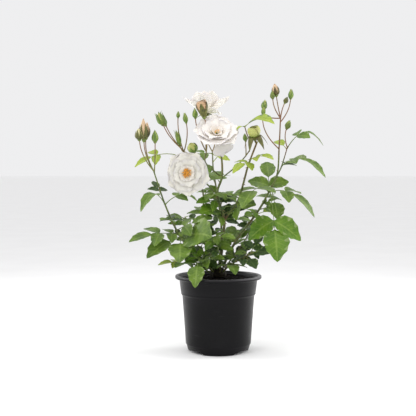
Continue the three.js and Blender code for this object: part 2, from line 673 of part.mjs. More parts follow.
function growRun(stem, [count, from, to, bearing, reach, length]) {
  for (let k = 0; k < count; k += 1) {
    const along = from + ((to - from) * k) / (count - 1);
    const turn = bearing + RUN_STEP * k + RUN_JITTER * jitter();
    const rise = RUN_RISE + RUN_TILT * Math.sin(radians(turn)) + RUN_JITTER * jitter();
    const scale = 1 + RUN_SPREAD * jitter();
    const roll = RUN_ROLL * jitter() - RUN_LEAN * Math.cos(radians(turn));
    growLeaf(stem, [along, turn, rise, reach * scale, 3, length * scale, RUN_BOW, roll]);
  }
}

makePot();
makeSoil();
addPart('crown', toGeometry(crownSolid(0)), 'bark');
for (const [name, shoot] of Object.entries(SHOOTS)) growStem(name, shoot);
for (const [name, twig] of Object.entries(TWIGS)) growTwig(name, twig);
BLOOMS.forEach(growBloom);
BUDS.forEach(growBud);
for (const [stem, rows] of Object.entries(LEAVES)) rows.forEach((row) => growLeaf(stem, row));
for (const [stem, run] of Object.entries(LEAF_RUNS)) growRun(stem, run);

// The crown's swollen form cuts each cane's foot clear of it, and the centre cane's swollen
// bough does the same for the cane that forks from it
const crownCut = crownSolid(GAP);
function boughSolid(name, swell, steps) {
  const { radii: [foot, tip], bare } = SHOOTS[name];
  const end = foot + (tip - foot) * bare;
  return toSolid(limb(routes[name], 0, bare, foot + swell, end + swell, BOUGH_SIDES, steps));
}
for (const [name, shoot] of Object.entries(SHOOTS)) {
  const forked = name === 'big_bud';
  if (shoot.bare > 0) {
    let bough = boughSolid(name, 0, forked ? 2 : 7).subtract(crownCut);
    if (forked) bough = bough.subtract(boughSolid('centre', GAP, 7));
    addPart(`bough_${name}`, toGeometry(bough), 'cane');
  }
  let foliage = fuse(pieces[name]);
  if (shoot.bare === 0) foliage = foliage.subtract(crownCut);
  addPart(`foliage_${name}`, toGeometry(foliage), 'foliage');
}

export default bush;
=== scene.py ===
# A white floribunda rose bush in its plastic nursery pot, dressed for rendering around its packed
# solids. Tables and growth are in millimetres, meshes in metres, +Z up, -Y the side the blooms face.
import math

import bmesh
import bpy
import numpy as np
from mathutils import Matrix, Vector, noise


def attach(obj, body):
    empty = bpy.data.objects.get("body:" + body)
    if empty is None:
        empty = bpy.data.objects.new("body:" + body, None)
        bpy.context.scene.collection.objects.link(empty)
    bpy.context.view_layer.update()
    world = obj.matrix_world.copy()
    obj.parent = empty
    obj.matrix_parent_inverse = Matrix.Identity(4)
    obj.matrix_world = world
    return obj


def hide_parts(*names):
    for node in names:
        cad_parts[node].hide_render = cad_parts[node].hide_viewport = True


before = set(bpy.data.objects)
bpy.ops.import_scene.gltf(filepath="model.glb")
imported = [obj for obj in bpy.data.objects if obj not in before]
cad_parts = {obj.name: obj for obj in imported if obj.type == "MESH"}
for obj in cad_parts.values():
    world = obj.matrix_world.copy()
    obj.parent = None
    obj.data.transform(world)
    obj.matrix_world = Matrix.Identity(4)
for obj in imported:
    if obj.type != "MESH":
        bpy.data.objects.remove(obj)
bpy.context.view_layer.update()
bpy.ops.object.select_all(action="DESELECT")

MM = 0.001
FULL_TURN = 2 * math.pi

# Canes: foot and tip radius, where the bare bough ends, and the route through listed places
SHOOTS = {
    "left": ((2.5, 1.15), 0.45, [
        (-9, 0, 140), (-24, -2, 153), (-48, -7, 176), (-71, -14, 210), (-92, -22, 257), (-111, -28, 315)]),
    "left_centre": ((2.4, 1.2), 0.42, [
        (-4, 7, 141), (-13, 12, 162), (-24, 18, 195), (-27, 22, 237), (-29, 24, 285), (-62, 14, 352)]),
    "centre": ((2.9, 1.5), 0.45, [
        (0, -2, 141), (5, -1, 170), (8, -1, 200), (10, -4, 232), (-2, -10, 275), (6, -12, 305),
        (5, -14, 340), (-4, -24, 377)]),
    "big_bud": ((1.9, 1.5), 0.06, [
        (10, -4, 229), (33, -20, 263), (42, -29, 292), (49, -37, 320), (57, -39, 343), (65, -41, 364)]),
    "right": ((2.7, 1.1), 0.31, [
        (8, 3, 140), (14, 7, 160), (34, 14, 196), (68, 22, 240), (90, 28, 278), (105, 31, 310),
        (108, 30, 358), (110, 26, 408)]),
    "back": ((2.4, 1.1), 0.36, [
        (2, 10, 139), (4, 26, 168), (6, 48, 215), (0, 70, 265), (-8, 85, 315), (-10, 92, 350)]),
    "back_left": ((1.7, 0.9), 0, [(-8, 11, 136), (-22, 26, 160), (-45, 45, 196), (-60, 56, 232)]),
    "back_right": ((1.7, 0.9), 0, [(9, 11, 136), (24, 26, 160), (48, 46, 190), (66, 60, 222)]),
    "front_left": ((1.6, 0.9), 0, [(-8, -8, 138), (-17, -18, 150), (-27, -31, 161), (-33, -42, 166)]),
    "front_right": ((1.7, 0.9), 0, [(6, -10, 138), (20, -18, 152), (42, -26, 166), (60, -32, 176)]),
    "front_centre": ((1.5, 0.9), 0, [(2, -12, 138), (4, -24, 155), (0, -33, 178), (-8, -37, 203)]),
    "low_left": ((1.5, 0.9), 0, [(-14, 3, 136), (-30, 4, 147), (-50, 6, 152), (-66, 8, 153)]),
}

# Side twigs: the shoot that they belong to, foot and tip radius, and the route
TWIGS = {
    "right_side": ("right", (1.3, 0.9), [(101, 30, 300), (110, 36, 316), (116, 42, 331), (124, 48, 357)]),
    "left_branch": ("centre", (1.3, 1.1), [
        (6, -12, 304), (-10, -12, 317), (-23, -10, 331), (-21, -3, 348)]),
    "third_bloom": ("centre", (1.1, 1.3), [
        (-21, -4, 345), (-22, 8, 366), (-22, 24, 392), (-21, 31, 413)]),
    "right_branch": ("centre", (1.2, 0.9), [
        (6, -12, 303), (20, -13, 314), (36, -13, 328), (56, -15, 356), (49, -17, 378), (45, -20, 391)]),
    "first_bloom": ("centre", (1.2, 1.4), [
        (-2, -10, 274), (-24, -13, 296), (-46, -14, 309), (-54, -26, 311)]),
}

# Blooms: shoot, stem, bearing and rise of the face, radius, how far the petals lie back
BLOOMS = [
    ("centre", "first_bloom", -90, 2, 39.5, 0.16),
    ("centre", "centre", -86, 45, 40, 0.18),
    ("centre", "third_bloom", 92, 66, 43, 0.62),
]

# Buds: stem, place along it, bearing, rise and reach of the pedicel, bearing and rise of the bud,
# its length and width, its kind, and how far the sepals stand off, from 0 to 1, or, below 0, how
# far only their tips flick out
BUDS = [
    ("left", 1, -154, 70, 52, -105, 87, 41, 14, "peach", 0.12),
    ("left", 1, -145, 61, 58, -133, 83, 22, 13, "cream", 0.1),
    ("left", 1, 164, 75, 55, 39, 84, 31, 12, "peach", 0.1),
    ("left", 0.99, -53, 87, 50, -96, 87, 22, 11, "olive", 0),
    ("left_centre", 1, -163, 50, 54, -147, 64, 25, 14, "green", -1),
    ("left_centre", 0.99, 180, 55, 54, -167, 65, 21, 9, "green", -0.5),
    ("left_centre", 0.98, 180, 57, 15, -164, 76, 29, 8, "green", -0.6),
    ("left_centre", 1, 155, 80, 56, 0, 87, 12, 6, "olive", 0),
    ("left_centre", 0.99, -41, 83, 49, -165, 79, 20, 8, "green", 0.1),
    ("left_centre", 0.99, -39, -1, 25, -125, 45, 21, 17, "fat", 0.05),
    ("left_branch", 1, -164, 71, 60, -150, 84, 18, 9, "olive", 0),
    ("left_branch", 1, -98, 72, 59, -139, 73, 31, 17, "urn", 0.08),
    ("right_branch", 0.5, 180, 88, 24, 180, 84, 14, 7, "green", 0),
    ("big_bud", 1, -148, 42, 5, -117, 69, 25, 22, "half_open", 1),
    ("right", 1, -152, 77, 38, -150, 80, 24, 13, "peach", 0.1),
    ("right", 1, -151, 63, 36, -142, 84, 15, 8, "olive", 0),
    ("right", 0.99, 15, 76, 30, 10, 64, 13, 8, "dark", 0),
    ("right", 0.98, 25, 63, 45, 0, 86, 19, 9, "olive", 0.1),
    ("right", 1, 172, 24, 33, 0, 82, 20, 10, "green", 0.2),
    ("right", 0.845, -161, 62, 66, 0, 83, 16, 7, "green", 0.2),
    ("right_side", 1, 129, 85, 32, 0, 70, 18, 10, "olive", 0.1),
    ("back", 1, 40, 72, 34, 60, 80, 20, 11, "olive", 0.1),
    ("back", 1, 150, 66, 30, 140, 80, 16, 9, "green", 0.1),
]

# Leaves: place along the stem, bearing, rise, reach, number of leaflets, length of the end leaflet,
# bow of the midrib, roll about it, and, where not the usual, the blades' breadth and droop
LEAVES = {
    "left": [
        (0.575, -158, -5, 92, 5, 42, 0.14, 20), (0.545, -150, -26, 74, 1, 50, 0.16, 30, 1.1),
        (0.55, -90, -31, 74, 1, 50, 0.1, 0, 1.3), (0.535, -50, 6, 79, 1, 64, 0.16, -60, 1.45),
        (0.61, -16, 18, 68, 3, 40, 0.14, -30), (0.8, -138, -10, 56, 3, 42, 0.85, 10),
        (0.8, 14, 4, 60, 3, 30, 0.5, -20), (0.84, 118, 36, 50, 3, 24, 0.1, 0),
        (0.66, 100, 14, 52, 3, 28, 0.14, 0),
    ],
    "left_centre": [
        (0.95, -168, -8, 96, 3, 30, 0.34, 25), (0.5, -150, 14, 50, 3, 32, 0.12, 30),
        (0.56, 100, 22, 62, 3, 32, 0.12, 0), (0.74, 70, 18, 52, 3, 28, 0.12, 0),
        (0.88, 105, 8, 56, 3, 28, 0.16, 0),
    ],
    "centre": [
        (0.47, -147, 0, 47, 1, 45, 0.16, 38, 1.15), (0.575, -117, -14, 46, 3, 26, 0.16, 0),
        (0.572, -12, -8, 38, 3, 22, 0.1, -20), (0.716, -148, 6, 18, 1, 12, 0, 0),
        (0.716, -24, 10, 17, 1, 11, 0, 0), (0.5, 78, 18, 56, 3, 32, 0.12, 0),
        (0.66, 110, 22, 50, 3, 28, 0.12, 0),
    ],
    "right_branch": [(1, -12, 6, 53, 1, 48, 0.4, -28), (1, -140, -15, 20, 1, 19, 0.2, 0)],
    "big_bud": [
        (0.1, -52, 11, 65, 3, 36, 0.12, -50), (0.68, -140, -26, 42, 3, 28, 0.24, 20),
        (0.72, -38, 2, 48, 3, 26, 0.24, -20), (0.97, -30, -34, 34, 1, 28, 0.9, 0),
    ],
    "right": [
        (0.575, 92, 50, 70, 3, 46, 0.2, 0), (0.57, -115, -10, 126, 3, 50, 0.28, 0),
        (0.565, -22, -25, 96, 3, 46, 0.4, -10), (0.585, -87, -46, 160, 3, 56, 0.12, 0, 1.3, 0.3),
        (0.6, -76, -53, 67, 1, 32, 0.1, 0, 1.5), (0.42, 30, 6, 52, 3, 36, 0.12, -20),
        (0.45, -20, 4, 48, 3, 24, 0.14, -20), (0.5, 70, 12, 62, 3, 32, 0.14, 0),
    ],
    "right_side": [
        (0.53, -22, -14, 84, 3, 50, 0.5, -10), (0.97, 10, 4, 68, 3, 36, 0.8, -15),
        (0.96, 124, 24, 42, 1, 32, 0.16, 20), (0.4, 70, 12, 56, 3, 30, 0.14, 0),
    ],
    "back_left": [(0.97, -160, 10, 34, 3, 28, 0.1, 20), (0.99, -30, 4, 36, 1, 30, 0.2, 0)],
    "back_right": [(0.97, 10, 4, 36, 3, 30, 0.2, -20), (0.99, -160, 14, 34, 1, 32, 0.1, 20, 1.1)],
    "front_left": [
        (0.97, -100, -46, 61, 1, 32, 0.34, 0, 1.45), (0.7, -30, 8, 44, 3, 28, 0.1, -25),
        (0.45, -170, 4, 42, 3, 26, 0.1, 20),
    ],
    "front_right": [
        (0.98, -44, 2, 40, 1, 30, 0.1, -40, 1.4), (0.72, -66, -20, 46, 1, 28, 0.14, -20, 1.2),
        (0.5, 10, 20, 46, 3, 26, 0.1, -20), (0.3, -80, -8, 56, 3, 34, 0.24, 0),
    ],
    "low_left": [
        (0.98, -172, -2, 42, 3, 26, 0.14, 20), (0.72, -120, -2, 44, 3, 26, 0.14, 10),
        (0.5, 130, 16, 46, 3, 26, 0.12, 0),
    ],
}
# The colour of each leaf above: d dark, m mid green, f fresh, l lime. Dark goes to low, inner and back
# leaves, partly their own deeper green and partly painted shade
LEAF_TINTS = {
    "left": "mmmmmmmdd", "left_centre": "lmmmd", "centre": "fmmlldm", "right_branch": "ll",
    "big_bud": "mlll", "right": "mmmfmlmm", "right_side": "mmld", "back_left": "ml",
    "back_right": "mm", "front_left": "mmf", "front_right": "dddm", "low_left": "lfm",
}
SIDE_DROOP = 0.16

# Leaves that follow the seeded rule: how many, from and to where along the shoot, first bearing,
# reach, length of the end leaflet, and the colours dealt out in turn
LEAF_RUNS = {
    "centre": (3, 0.46, 0.52, 205, 46, 26, "mdm"),
    "back": (7, 0.4, 0.98, 60, 56, 29, "dmmfmlm"),
    "back_left": (7, 0.24, 0.95, 140, 52, 30, "dmdmmfm"),
    "back_right": (7, 0.24, 0.95, 44, 52, 30, "dmdmmfm"),
    "front_left": (3, 0.3, 0.8, -150, 40, 24, "mdf"),
    "front_right": (4, 0.3, 0.9, -20, 42, 25, "dmdd"),
    "front_centre": (6, 0.3, 1, -30, 38, 25, "dmdmfm"),
    "low_left": (4, 0.3, 0.9, 160, 42, 25, "mlfl"),
}
# Smaller leaves that only show here, by the same rule, in the gaps that the solids leave
FINE_RUNS = {
    "left": (5, 0.5, 0.68, 30, 34, 19, "mdmfm"),
    "left_centre": (4, 0.4, 0.5, -60, 30, 18, "mmfd"),
    "centre": (8, 0.42, 0.545, 60, 40, 25, "dmdmdmf"),
    "right": (5, 0.3, 0.48, 150, 34, 20, "mdmfm"),
    "back": (6, 0.3, 0.5, 0, 38, 21, "mdfmdm"),
    "back_left": (7, 0.24, 0.95, 70, 38, 21, "mdmfmdm"),
    "back_right": (7, 0.24, 0.95, 110, 38, 21, "mdmfmdm"),
    "front_left": (7, 0.2, 0.9, 60, 32, 20, "dmddmfd"),
    "front_right": (8, 0.16, 0.95, 60, 33, 20, "ddmdddmd"),
    "front_centre": (10, 0.16, 0.98, 100, 35, 23, "ddmdmddmfd"),
    "low_left": (5, 0.2, 0.9, 80, 28, 17, "mdlfm"),
}
# The seeded rule: the turn from each leaf to the next, how much that and the rise vary, the rise,
# how much sizes vary, the bow, how much the roll varies, and the lean and tilt by where a leaf looks
RUN_STEP = 144
RUN_JITTER = 14
RUN_RISE = 16
RUN_SPREAD = 0.14
RUN_BOW = 0.14
RUN_ROLL = 12
RUN_LEAN = 32
RUN_TILT = 24

# A leaf: breadth and fold of a blade as shares of its length, how deep its foot sinks into the
# stalk, and its pairs of side leaflets, in shares of the end leaflet's length and in degrees
BLADE_WIDTH = 0.3
BLADE_FOLD = 0.22
LEAF_SINK = 0.5
PAIR_GAP = 0.34
PAIR_PITCH = 0.52
PAIR_ANGLE = 64
PAIR_WIDEN = 8
PAIR_SCALE = 0.9
PAIR_SHRINK = 0.14
PAIR_BOW = 0.1
ANGLE_JITTER = 6
DROOP_JITTER = 0.08
# The shortest stalk and the lowest pair's place, as shares of the reach, and how far the stalk
# runs on under the end leaflet
SHORTEST_STALK = 0.12
LOWEST_PAIR = 0.1
STALK_LAP = 1.5
# Room between leaflets as the solids have it, and as the smaller leaves here have it
KEEP_CLEAR = 3.2
FINE_CLEAR = 0.5
LEAFLET_SPOT = 2
LIMB_SPOT_STEP = 5
STALK_RADIUS = 0.95
PEDICEL_RADIUS = 0.95
BUD_CURVE = 0.45
GAP = 0.3
# Where no leaf goes, so that the pot and its rim stay bare
POT_CLEAR_RADIUS = 78
POT_CLEAR_HEIGHT = 137
# Where a bloom's petals and a leaf's stalk are felt for room, as shares of their length
FEELER_SHARES = (0.35, 0.7, 1)
# A bloom: how far its seat is from its stem's end, and the spokes and spots that hold its room
BLOOM_SEAT = 2
BLOOM_SPOKES = 16
PETAL_ROOM = 4
# Where a leaflet is felt for room: shares of its length, with its breadth there
BLADE_FEELERS = ((0.15, 0.4), (0.32, 0.9), (0.5, 0.9), (0.68, 0.82), (0.85, 0.4), (1, 0))

# Seeds of the random draws: the leaf rule's, which the solids share, and each kind of piece's own
SEED = 20
SEEDS = {"buds": 3, "leaves": 5, "blooms": 8, "prickles": 11, "crumbs": 21}

# Growth
DRAW_FACTOR = 16807
DRAW_RANGE = 2147483647
draw = SEED


def jitter():
    """The next number of the seeded rule, between -1 and 1."""
    global draw
    draw = (draw * DRAW_FACTOR) % DRAW_RANGE
    return draw / DRAW_RANGE * 2 - 1


def unit(way):
    return way / np.linalg.norm(way)


def heading(bearing, rise):
    b, r = math.radians(bearing), math.radians(rise)
    return np.array([math.cos(b) * math.cos(r), math.sin(b) * math.cos(r), math.sin(r)])


def swing(first, second, angle):
    """The way at an angle from the first of two square ways towards the second."""
    return first * math.cos(angle) + second * math.sin(angle)


def taper(foot, tip):
    """The radius along a limb that thins evenly."""
    return lambda along: foot + (tip - foot) * along


def smooth_route(places):
    """A curve through all the places, at(0) the first and at(1) the last."""
    points = np.array(places, float)
    last = len(points) - 1
    padded = np.vstack([2 * points[0] - points[1], points, 2 * points[-1] - points[-2]])

    def at(along):
        i = min(int(last * along), last - 1)
        t = last * along - i
        p0, p1, p2, p3 = padded[i:i + 4]
        out, into = (p2 - p0) / 2, (p3 - p1) / 2
        place = p1 + out * t + (3 * (p2 - p1) - 2 * out - into) * t * t
        return place + (2 * (p1 - p2) + out + into) * t ** 3
    return at


def bezier(foot, knee, tip):
    def at(along):
        return foot * (1 - along) ** 2 + knee * 2 * along * (1 - along) + tip * along ** 2
    at.places = (foot, knee, tip)
    return at


def bowed_route(foot, tip, bow):
    knee = (foot + tip) / 2
    knee[2] += bow * np.linalg.norm(tip - foot)
    return bezier(foot, knee, tip)


def way_at(route, along):
    return unit(route(min(along + 0.01, 1)) - route(max(along - 0.01, 0)))


class Claims:
    """Space that is taken already: spots with the radius round them, their shoot and their leaf."""

    def __init__(self):
        room = 90000
        self.count = 0
        self.spots = np.zeros((room, 3))
        self.radii = np.zeros(room)
        self.owners = np.zeros(room, int)
        self.leaves = np.zeros(room, int)

    def take(self, owner, spots, radius, leaf=0):
        spots = np.atleast_2d(spots)
        end = self.count + len(spots)
        self.spots[self.count:end] = spots
        self.radii[self.count:end] = radius
        self.owners[self.count:end] = owner
        self.leaves[self.count:end] = leaf
        self.count = end

    def take_limb(self, owner, route, radius):
        steps = math.ceil(np.linalg.norm(route(1) - route(0)) / LIMB_SPOT_STEP)
        self.take(owner, [route(k / steps) for k in range(steps + 1)], radius)

    def clear(self, owner, leaf, spots, margin):
        """Whether spots are off the pot and clear of all but their own shoot's limbs and their own leaf."""
        spots = np.array(spots)
        over_pot = np.hypot(spots[:, 0], spots[:, 1]) < POT_CLEAR_RADIUS
        if (over_pot & (spots[:, 2] < POT_CLEAR_HEIGHT)).any():
            return False
        n = self.count
        own = (self.owners[:n] == owner) & ((self.leaves[:n] == 0) | (self.leaves[:n] == leaf))
        near = self.spots[:n][~own]
        gaps = np.linalg.norm(near[None] - spots[:, None], axis=2)
        return bool((gaps > self.radii[:n][~own] + margin).all())


claims = Claims()
owner_of = {name: number for number, name in enumerate(SHOOTS)}
routes = {name: smooth_route(places) for name, (_, _, places) in SHOOTS.items()}
for name, (shoot, _, places) in TWIGS.items():
    owner_of[name] = owner_of[shoot]
    routes[name] = smooth_route(places)
stalks = []
leaflets = []
spared = []
buds = []
blooms = []
leaf_count = 0


def grow_bloom(shoot, stem, bearing, rise, radius, lie):
    face = heading(bearing, rise)
    seat = routes[stem](1) + face * BLOOM_SEAT
    side = unit(np.cross([0, 0, 1], face))
    lift = np.cross(side, face)
    blooms.append((seat, face, side, lift, radius, lie))
    for k in range(BLOOM_SPOKES):
        way = swing(side, lift, FULL_TURN * k / BLOOM_SPOKES)
        for share in FEELER_SHARES:
            spot = seat + way * radius * share + face * radius * lie * share
            claims.take(owner_of[shoot], spot, PETAL_ROOM)


def grow_bud(stem, along, bearing, rise, reach, lean_bearing, lean_rise, length, width, kind, splay):
    owner = owner_of[stem]
    foot = routes[stem](along)
    seat = foot + heading(bearing, rise) * reach
    way = heading(lean_bearing, lean_rise)
    pedicel = bezier(foot, seat - way * BUD_CURVE * reach, seat)
    claims.take_limb(owner, pedicel, PEDICEL_RADIUS)
    side = unit(np.cross(way, [1, 0, 0] if abs(way[0]) < 0.7 else [0, 0, 1]))
    buds.append((pedicel, seat, way, side, np.cross(side, way), length, width, kind, splay))
    claims.take(owner, seat + way * length * 0.35, width / 2)
    claims.take(owner, seat + way * length * 0.8, width / 3)


def blade_spots(route, side, length, broad, start):
    spots = []
    for share, width in BLADE_FEELERS:
        centre = route(start + (1 - start) * share)
        for hand in (-1, -0.5, 0, 0.5, 1):
            spots.append(centre + side * hand * width * BLADE_WIDTH * broad * length)
    return spots


def add_blade(owner, leaf, route, side, length, broad, start, tint, margin):
    """Grows a leaflet where there is room for it, and keeps those that had none for later."""
    spots = blade_spots(route, side, length, broad, start)
    if not claims.clear(owner, leaf, spots, margin):
        spared.append((owner, leaf, route, side, length, broad, start, tint))
        return
    leaflets.append((route.places, side, length, broad, start, tint))
    claims.take(owner, spots, LEAFLET_SPOT, leaf)


def grow_leaf(stem, along, bearing, rise, reach, count, length, bow, roll,
              broad=1, droop=SIDE_DROOP, tint="m", margin=KEEP_CLEAR):
    """A compound leaf: the stalk, the end leaflet that carries on along it, and pairs off its sides."""
    global leaf_count
    owner = owner_of[stem]
    leaf_count += 1
    foot = routes[stem](along)
    route = bowed_route(foot, foot + heading(bearing, rise) * reach, bow)
    b = math.radians(bearing)
    level = np.array([math.sin(b), -math.cos(b), 0])
    stalk_end = max(1 - length / reach, SHORTEST_STALK)
    stalk_spots = [route(stalk_end * share) for share in FEELER_SHARES]
    if not claims.clear(owner, leaf_count, stalk_spots, margin):
        return
    leaf = leaf_count
    stalks.append((route, stalk_end + STALK_LAP / reach, tint))
    claims.take(owner, stalk_spots, STALK_RADIUS)

    def side_at(place):
        return swing(level, unit(np.cross(level, way_at(route, place))), math.radians(roll))

    add_blade(owner, leaf, route, side_at(1), length, broad, stalk_end - LEAF_SINK / reach, tint, margin)
    for pair in range((count - 1) // 2):
        place = stalk_end - (PAIR_GAP + PAIR_PITCH * pair) * length / reach
        if place < LOWEST_PAIR:
            break
        node = route(place)
        way = way_at(route, place)
        side = side_at(place)
        lift = unit(np.cross(side, way))
        leaflet_length = length * (PAIR_SCALE - PAIR_SHRINK * pair)
        for hand in (-1, 1):
            spread = math.radians(PAIR_ANGLE + PAIR_WIDEN * pair + ANGLE_JITTER * jitter())
            out = way * math.cos(spread) + side * hand * math.sin(spread)
            end = node + out * leaflet_length
            end[2] -= leaflet_length * (droop + DROOP_JITTER * jitter())
            add_blade(owner, leaf, bowed_route(node - out * LEAF_SINK, end, PAIR_BOW),
                      unit(np.cross(out, lift)), leaflet_length, broad, 0, tint, margin)


def grow_run(stem, count, start, stop, bearing, reach, length, tints, margin=KEEP_CLEAR):
    """Leaves of three leaflets up a shoot by the seeded rule."""
    for k in range(count):
        along = start + (stop - start) * k / (count - 1)
        turn = bearing + RUN_STEP * k + RUN_JITTER * jitter()
        rise = RUN_RISE + RUN_TILT * math.sin(math.radians(turn)) + RUN_JITTER * jitter()
        scale = 1 + RUN_SPREAD * jitter()
        roll = RUN_ROLL * jitter() - RUN_LEAN * math.cos(math.radians(turn))
        grow_leaf(stem, along, turn, rise, reach * scale, 3, length * scale, RUN_BOW, roll,
                  tint=tints[k % len(tints)], margin=margin)


for name, (radii, _, _) in SHOOTS.items():
    claims.take_limb(owner_of[name], routes[name], radii[0])
for name, (_, radii, _) in TWIGS.items():
    claims.take_limb(owner_of[name], routes[name], radii[0])
for row in BLOOMS:
    grow_bloom(*row)
for row in BUDS:
    grow_bud(*row)
for stem, rows in LEAVES.items():
    for row, tint in zip(rows, LEAF_TINTS[stem]):
        grow_leaf(stem, *row, tint=tint)
for stem, run in LEAF_RUNS.items():
    grow_run(stem, *run)
# Leaflets that had no room in the solids are tried again, closer to the others, and show only here
waiting, spared = spared, []
for owner, leaf, route, side, length, broad, start, tint in waiting:
    add_blade(owner, leaf, route, side, length, broad, start, tint, FINE_CLEAR)
for stem, run in FINE_RUNS.items():
    grow_run(stem, *run, margin=FINE_CLEAR)


# Finishes
class Value:
    """A number in a finish's nodes. An expression on it adds Math nodes."""

    def __init__(self, finish, socket):
        self.finish = finish
        self.socket = socket

    def maths(self, operation, *terms):
        return self.finish.node("ShaderNodeMath", {"operation": operation}, dict(enumerate(terms)))

    def __add__(self, other):
        return self.maths("ADD", self, other)

    def __radd__(self, other):
        return self.maths("ADD", other, self)

    def __sub__(self, other):
        return self.maths("SUBTRACT", self, other)

    def __rsub__(self, other):
        return self.maths("SUBTRACT", other, self)

    def __mul__(self, other):
        return self.maths("MULTIPLY", self, other)

    def __rmul__(self, other):
        return self.maths("MULTIPLY", other, self)

    def __abs__(self):
        return self.maths("ABSOLUTE", self)

    def cosine(self):
        return self.maths("COSINE", self)

    def between(self, low, high):
        """0 below low, 1 above high, smooth between."""
        return self.finish.node("ShaderNodeMapRange", {"interpolation_type": "SMOOTHSTEP"},
                                {"Value": self, "From Min": low, "From Max": high})


# Sockets of a Mix node on colours: its share, both colours, and what comes out
MIX_SHARE, MIX_FIRST, MIX_SECOND, MIX_COLOUR = 0, 6, 7, 2


class Finish:
    """A material whose nodes are added one by one."""

    def __init__(self, name, roughness, specular=0.5):
        self.material = bpy.data.materials.new(name)
        self.material.use_nodes = True
        self.tree = self.material.node_tree
        self.shader = self.tree.nodes["Principled BSDF"]
        self.shader.inputs["Roughness"].default_value = roughness
        self.shader.inputs["Specular IOR Level"].default_value = specular

    def set(self, socket, value):
        if isinstance(value, Value):
            self.tree.links.new(value.socket, socket)
        else:
            socket.default_value = value

    def node(self, kind, settings, sockets, output=0):
        made = self.tree.nodes.new(kind)
        for key, value in settings.items():
            setattr(made, key, value)
        for key, value in sockets.items():
            self.set(made.inputs[key], value)
        return Value(self, made.outputs[output])

    def place(self, stretch=(1, 1, 1)):
        coordinates = self.node("ShaderNodeTexCoord", {}, {}, "Object")
        return self.node("ShaderNodeMapping", {}, {"Vector": coordinates, "Scale": stretch})

    def height(self):
        """Height above the floor, in metres."""
        return self.node("ShaderNodeSeparateXYZ", {}, {"Vector": self.place()}, 2)

    def noise(self, scale, detail=3, stretch=(1, 1, 1), seed=(0, 0, 0)):
        moved = self.node("ShaderNodeVectorMath", {"operation": "ADD"}, {0: self.place(stretch), 1: seed})
        return self.node("ShaderNodeTexNoise", {}, {"Vector": moved, "Scale": scale, "Detail": detail})

    def mix(self, share, first, second):
        return self.node("ShaderNodeMix", {"data_type": "RGBA"},
                         {MIX_SHARE: share, MIX_FIRST: first, MIX_SECOND: second}, MIX_COLOUR)

    def map_parts(self):
        """Across and along values of the piece's own map."""
        spread = self.node("ShaderNodeTexCoord", {}, {}, "UV")
        return [self.node("ShaderNodeSeparateXYZ", {}, {"Vector": spread}, part) for part in (0, 1)]

    def colour(self, value):
        self.set(self.shader.inputs["Base Color"], value)

    def bump(self, height, distance, strength=1):
        self.set(self.shader.inputs["Normal"], self.node(
            "ShaderNodeBump", {}, {"Height": height, "Distance": distance, "Strength": strength}))


def tone(red, green, blue):
    """A colour given as an eye sees it on screen, 0 to 255, made linear."""
    linear = [((c / 255 + 0.055) / 1.055) ** 2.4 if c > 10 else c / 255 / 12.92 for c in (red, green, blue)]
    return (*linear, 1)


SIDE_VEINS = 9
VEIN_SWEEP = 1.7
# Heights in metres between which young shoots turn reddish, and where a painted highlight pales the pot's
# rim
BLUSH_FROM, BLUSH_TO = 0.27, 0.39
RIM_GLINT_FROM, RIM_GLINT_TO = 0.1295, 0.132


def leaf_finish(name, deep, bright, rib, roughness):
    """A blade with blotches, side veins and a midrib."""
    leaf = Finish(name, roughness, 0.32)
    across, along = leaf.map_parts()
    off_rib = abs(across * 2 - 1)
    blotch = leaf.noise(55, 2)
    fine = leaf.noise(420, 3)
    veins = ((along * SIDE_VEINS - off_rib * VEIN_SWEEP) * FULL_TURN).cosine().between(0.72, 1)
    veins = veins * (1 - off_rib * 0.7)
    midrib = 1 - off_rib.between(0.03, 0.13)
    body = leaf.mix((blotch * 0.75 + fine * 0.35 - 0.05).between(0.2, 0.85), deep, bright)
    body = leaf.mix(veins * 0.22, body, rib)
    leaf.colour(leaf.mix(midrib * 0.35, body, rib))
    leaf.bump(fine * 0.25 - veins * 0.5 - midrib * 0.6, 0.0004, 0.45)
    return leaf.material


def petal_finish(name, heart, outer, edge):
    """A petal that light passes into, from its heart to its edge, with fine streaks along it."""
    petal = Finish(name, 0.55)
    petal.shader.inputs["Subsurface Weight"].default_value = 0.2
    petal.shader.inputs["Subsurface Scale"].default_value = 0.003
    petal.shader.inputs["Subsurface Radius"].default_value = (1, 0.9, 0.8)
    across, along = petal.map_parts()
    drawn_out = petal.node("ShaderNodeCombineXYZ", {}, {0: across * 26, 1: along * 1.6})
    streak = petal.node("ShaderNodeTexNoise", {}, {"Vector": drawn_out, "Scale": 1, "Detail": 3})
    rim = (abs(across * 2 - 1) * 0.6 + along * 0.6 + streak * 0.3).between(0.85, 1.35)
    petal.colour(petal.mix(rim * 0.75, petal.mix(along.between(0.12, 0.6), heart, outer), edge))
    petal.bump(streak, 0.0003, 0.12)
    return petal.material


def skin_finish(name, deep, bright, tint, roughness=0.5, grain=260, stretch=(1, 1, 0.2), blush=None):
    """Green or brown skin of canes, hips and sepals, streaked along, with flecks of another colour."""
    skin = Finish(name, roughness)
    streak = skin.noise(grain, 3, stretch)
    patch = skin.noise(38, 3)
    body = skin.mix(streak.between(0.3, 0.7), deep, bright)
    body = skin.mix(patch.between(0.5, 0.72) * 0.7, body, tint)
    if blush:
        reddish = (skin.height().between(BLUSH_FROM, BLUSH_TO) + patch * 0.8 - 0.4).between(0.3, 1.1)
        body = skin.mix(reddish * 0.75, body, blush)
    skin.colour(body)
    skin.bump(streak, 0.0006, 0.5)
    return skin.material


